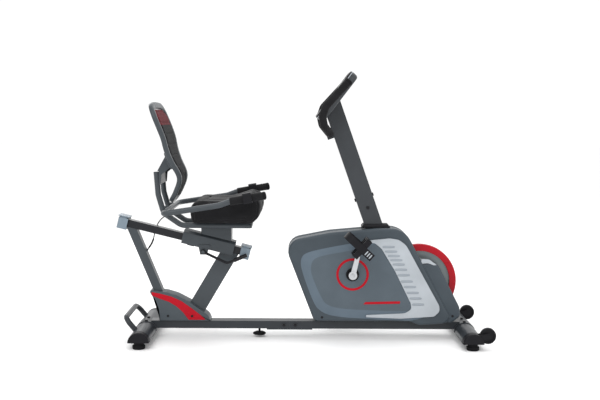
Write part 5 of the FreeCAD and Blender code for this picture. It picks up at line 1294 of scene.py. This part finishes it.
# %% Grip caps
GRIP_CAP = [(0.0135, -0.006), (0.0172, -0.006), (0.0177, -0.004), (0.0177, 0.0015), (0.0165, 0.0045),
            (0.0130, 0.0070), (0.0075, 0.0084), (0.0, 0.0088)]
CONSOLE_BAR_TIP = (0.1966, 0.170, 1.1720)
CONSOLE_BAR_AHEAD = (0.6756, 0, 0.7373)
SIDE_BAR_TIP = (-0.1675, 0.270, 0.6786)
SIDE_BAR_AHEAD = (0.9842, 0, 0.1771)
for label, tip, ahead, body in (("console", CONSOLE_BAR_TIP, CONSOLE_BAR_AHEAD, "frame"),
                                ("side", SIDE_BAR_TIP, SIDE_BAR_AHEAD, "carriage")):
    caps = [spun(GRIP_CAP, (tip[0], sign * tip[1], tip[2]), ahead, 32) for sign in SIDES.values()]
    add_piece(label + "_grip_caps", caps, "rubber", body)
    print(label, "grip caps:", len(caps))

# %% [markdown]
# ## Pedal treads and strap holes
# A pedal is drawn on its own tilted plane too.  Rubber treads run across the platform for grip, and the
# strap's hanging tail has pale slots where it is hooked to size.

# %% Pedal plane
PEDAL_TILT = math.radians(48)
PEDAL_ALONG = Vector((math.cos(PEDAL_TILT), 0, math.sin(PEDAL_TILT)))
PEDAL_UP = Vector((-math.sin(PEDAL_TILT), 0, math.cos(PEDAL_TILT)))
PEDAL_CENTRES = {"right": Vector((0.2604, 0, 0.4407)), "left": Vector((0.1956, 0, 0.1683))}
PEDAL_INNER_Y, PEDAL_OUTER_Y = 0.128, 0.220
PEDAL_TOP = 0.013
TREAD_PLACES = (-0.0445, -0.0385, -0.0045, 0.0045, 0.0385, 0.0445)
TREAD_HALF_WIDTH = 0.0018
TREAD_RISE = 0.0020
TREAD_SINK = 0.0004
# Where each ring of a tread stands across the pedal, and how much of its full size it has.
TREAD_SPANS = ((PEDAL_INNER_Y + 0.004, 0.2), (PEDAL_INNER_Y + 0.006, 1), (PEDAL_OUTER_Y - 0.006, 1),
               (PEDAL_OUTER_Y - 0.004, 0.2))
SLOT_DROPS = (-0.024, -0.036, -0.048)
SLOT_HALF_LENGTH, SLOT_HALF_HEIGHT, SLOT_CORNER = 0.0105, 0.0026, 0.002
SLOT_LEVELS = ((-0.0008, 0.0), (0.0004, 0.0), (0.0007, 0.0004))
STRAP_FACE_Y = PEDAL_OUTER_Y + 0.003


def on_pedal(side, along, y, up):
    """The place in the room of a point on a pedal's own tilted plane."""
    return PEDAL_CENTRES[side] + PEDAL_ALONG * along + Vector((0, SIDES[side] * y, 0)) + PEDAL_UP * up


def tread(side, along):
    """A low half-round rib across the platform."""
    rings = [half_round(lambda across, up: on_pedal(side, along + TREAD_HALF_WIDTH * swell * across, y,
                                                    PEDAL_TOP - TREAD_SINK + TREAD_RISE * swell * up))
             for y, swell in TREAD_SPANS]
    return skin(rings, True, True)


def strap_slot(side, drop):
    """A small rounded plate in the face of the strap's tail."""
    corners = [(-1, -1), (1, -1), (1, 1), (-1, 1)]
    outline = rounded([(x * SLOT_HALF_LENGTH, drop + z * SLOT_HALF_HEIGHT, SLOT_CORNER) for x, z in corners])
    rings = [[on_pedal(side, point.x, STRAP_FACE_Y + out, point.y) for point in drawn_in(outline, inset)]
             for out, inset in SLOT_LEVELS]
    return skin(rings, False, True)


for side in SIDES:
    pedal = side + "_pedal"
    treads = [tread(side, along) for along in TREAD_PLACES]
    add_piece("pedal_treads_" + side, treads, "rubber", pedal)
    slots = [strap_slot(side, drop) for drop in SLOT_DROPS]
    add_piece("strap_slots_" + side, slots, "silver_plastic", pedal)
print("treads on each pedal:", len(TREAD_PLACES))

# %% Crank bolts
CRANK_BOLT = [(0.0095, -0.002), (0.0095, 0.0008), (0.0085, 0.0016), (0.0055, 0.0016), (0.0050, -0.001),
              (0.0, -0.001)]
CRANK_OUTER_Y = 0.109
parts = [spun(CRANK_BOLT, (CRANK_CENTRE.x, sign * CRANK_OUTER_Y, CRANK_CENTRE.z), (0, sign, 0), 24)
         for sign in SIDES.values()]
add_piece("crank_bolts", parts, "bolt_steel", "crank")
print("crank bolts:", len(parts))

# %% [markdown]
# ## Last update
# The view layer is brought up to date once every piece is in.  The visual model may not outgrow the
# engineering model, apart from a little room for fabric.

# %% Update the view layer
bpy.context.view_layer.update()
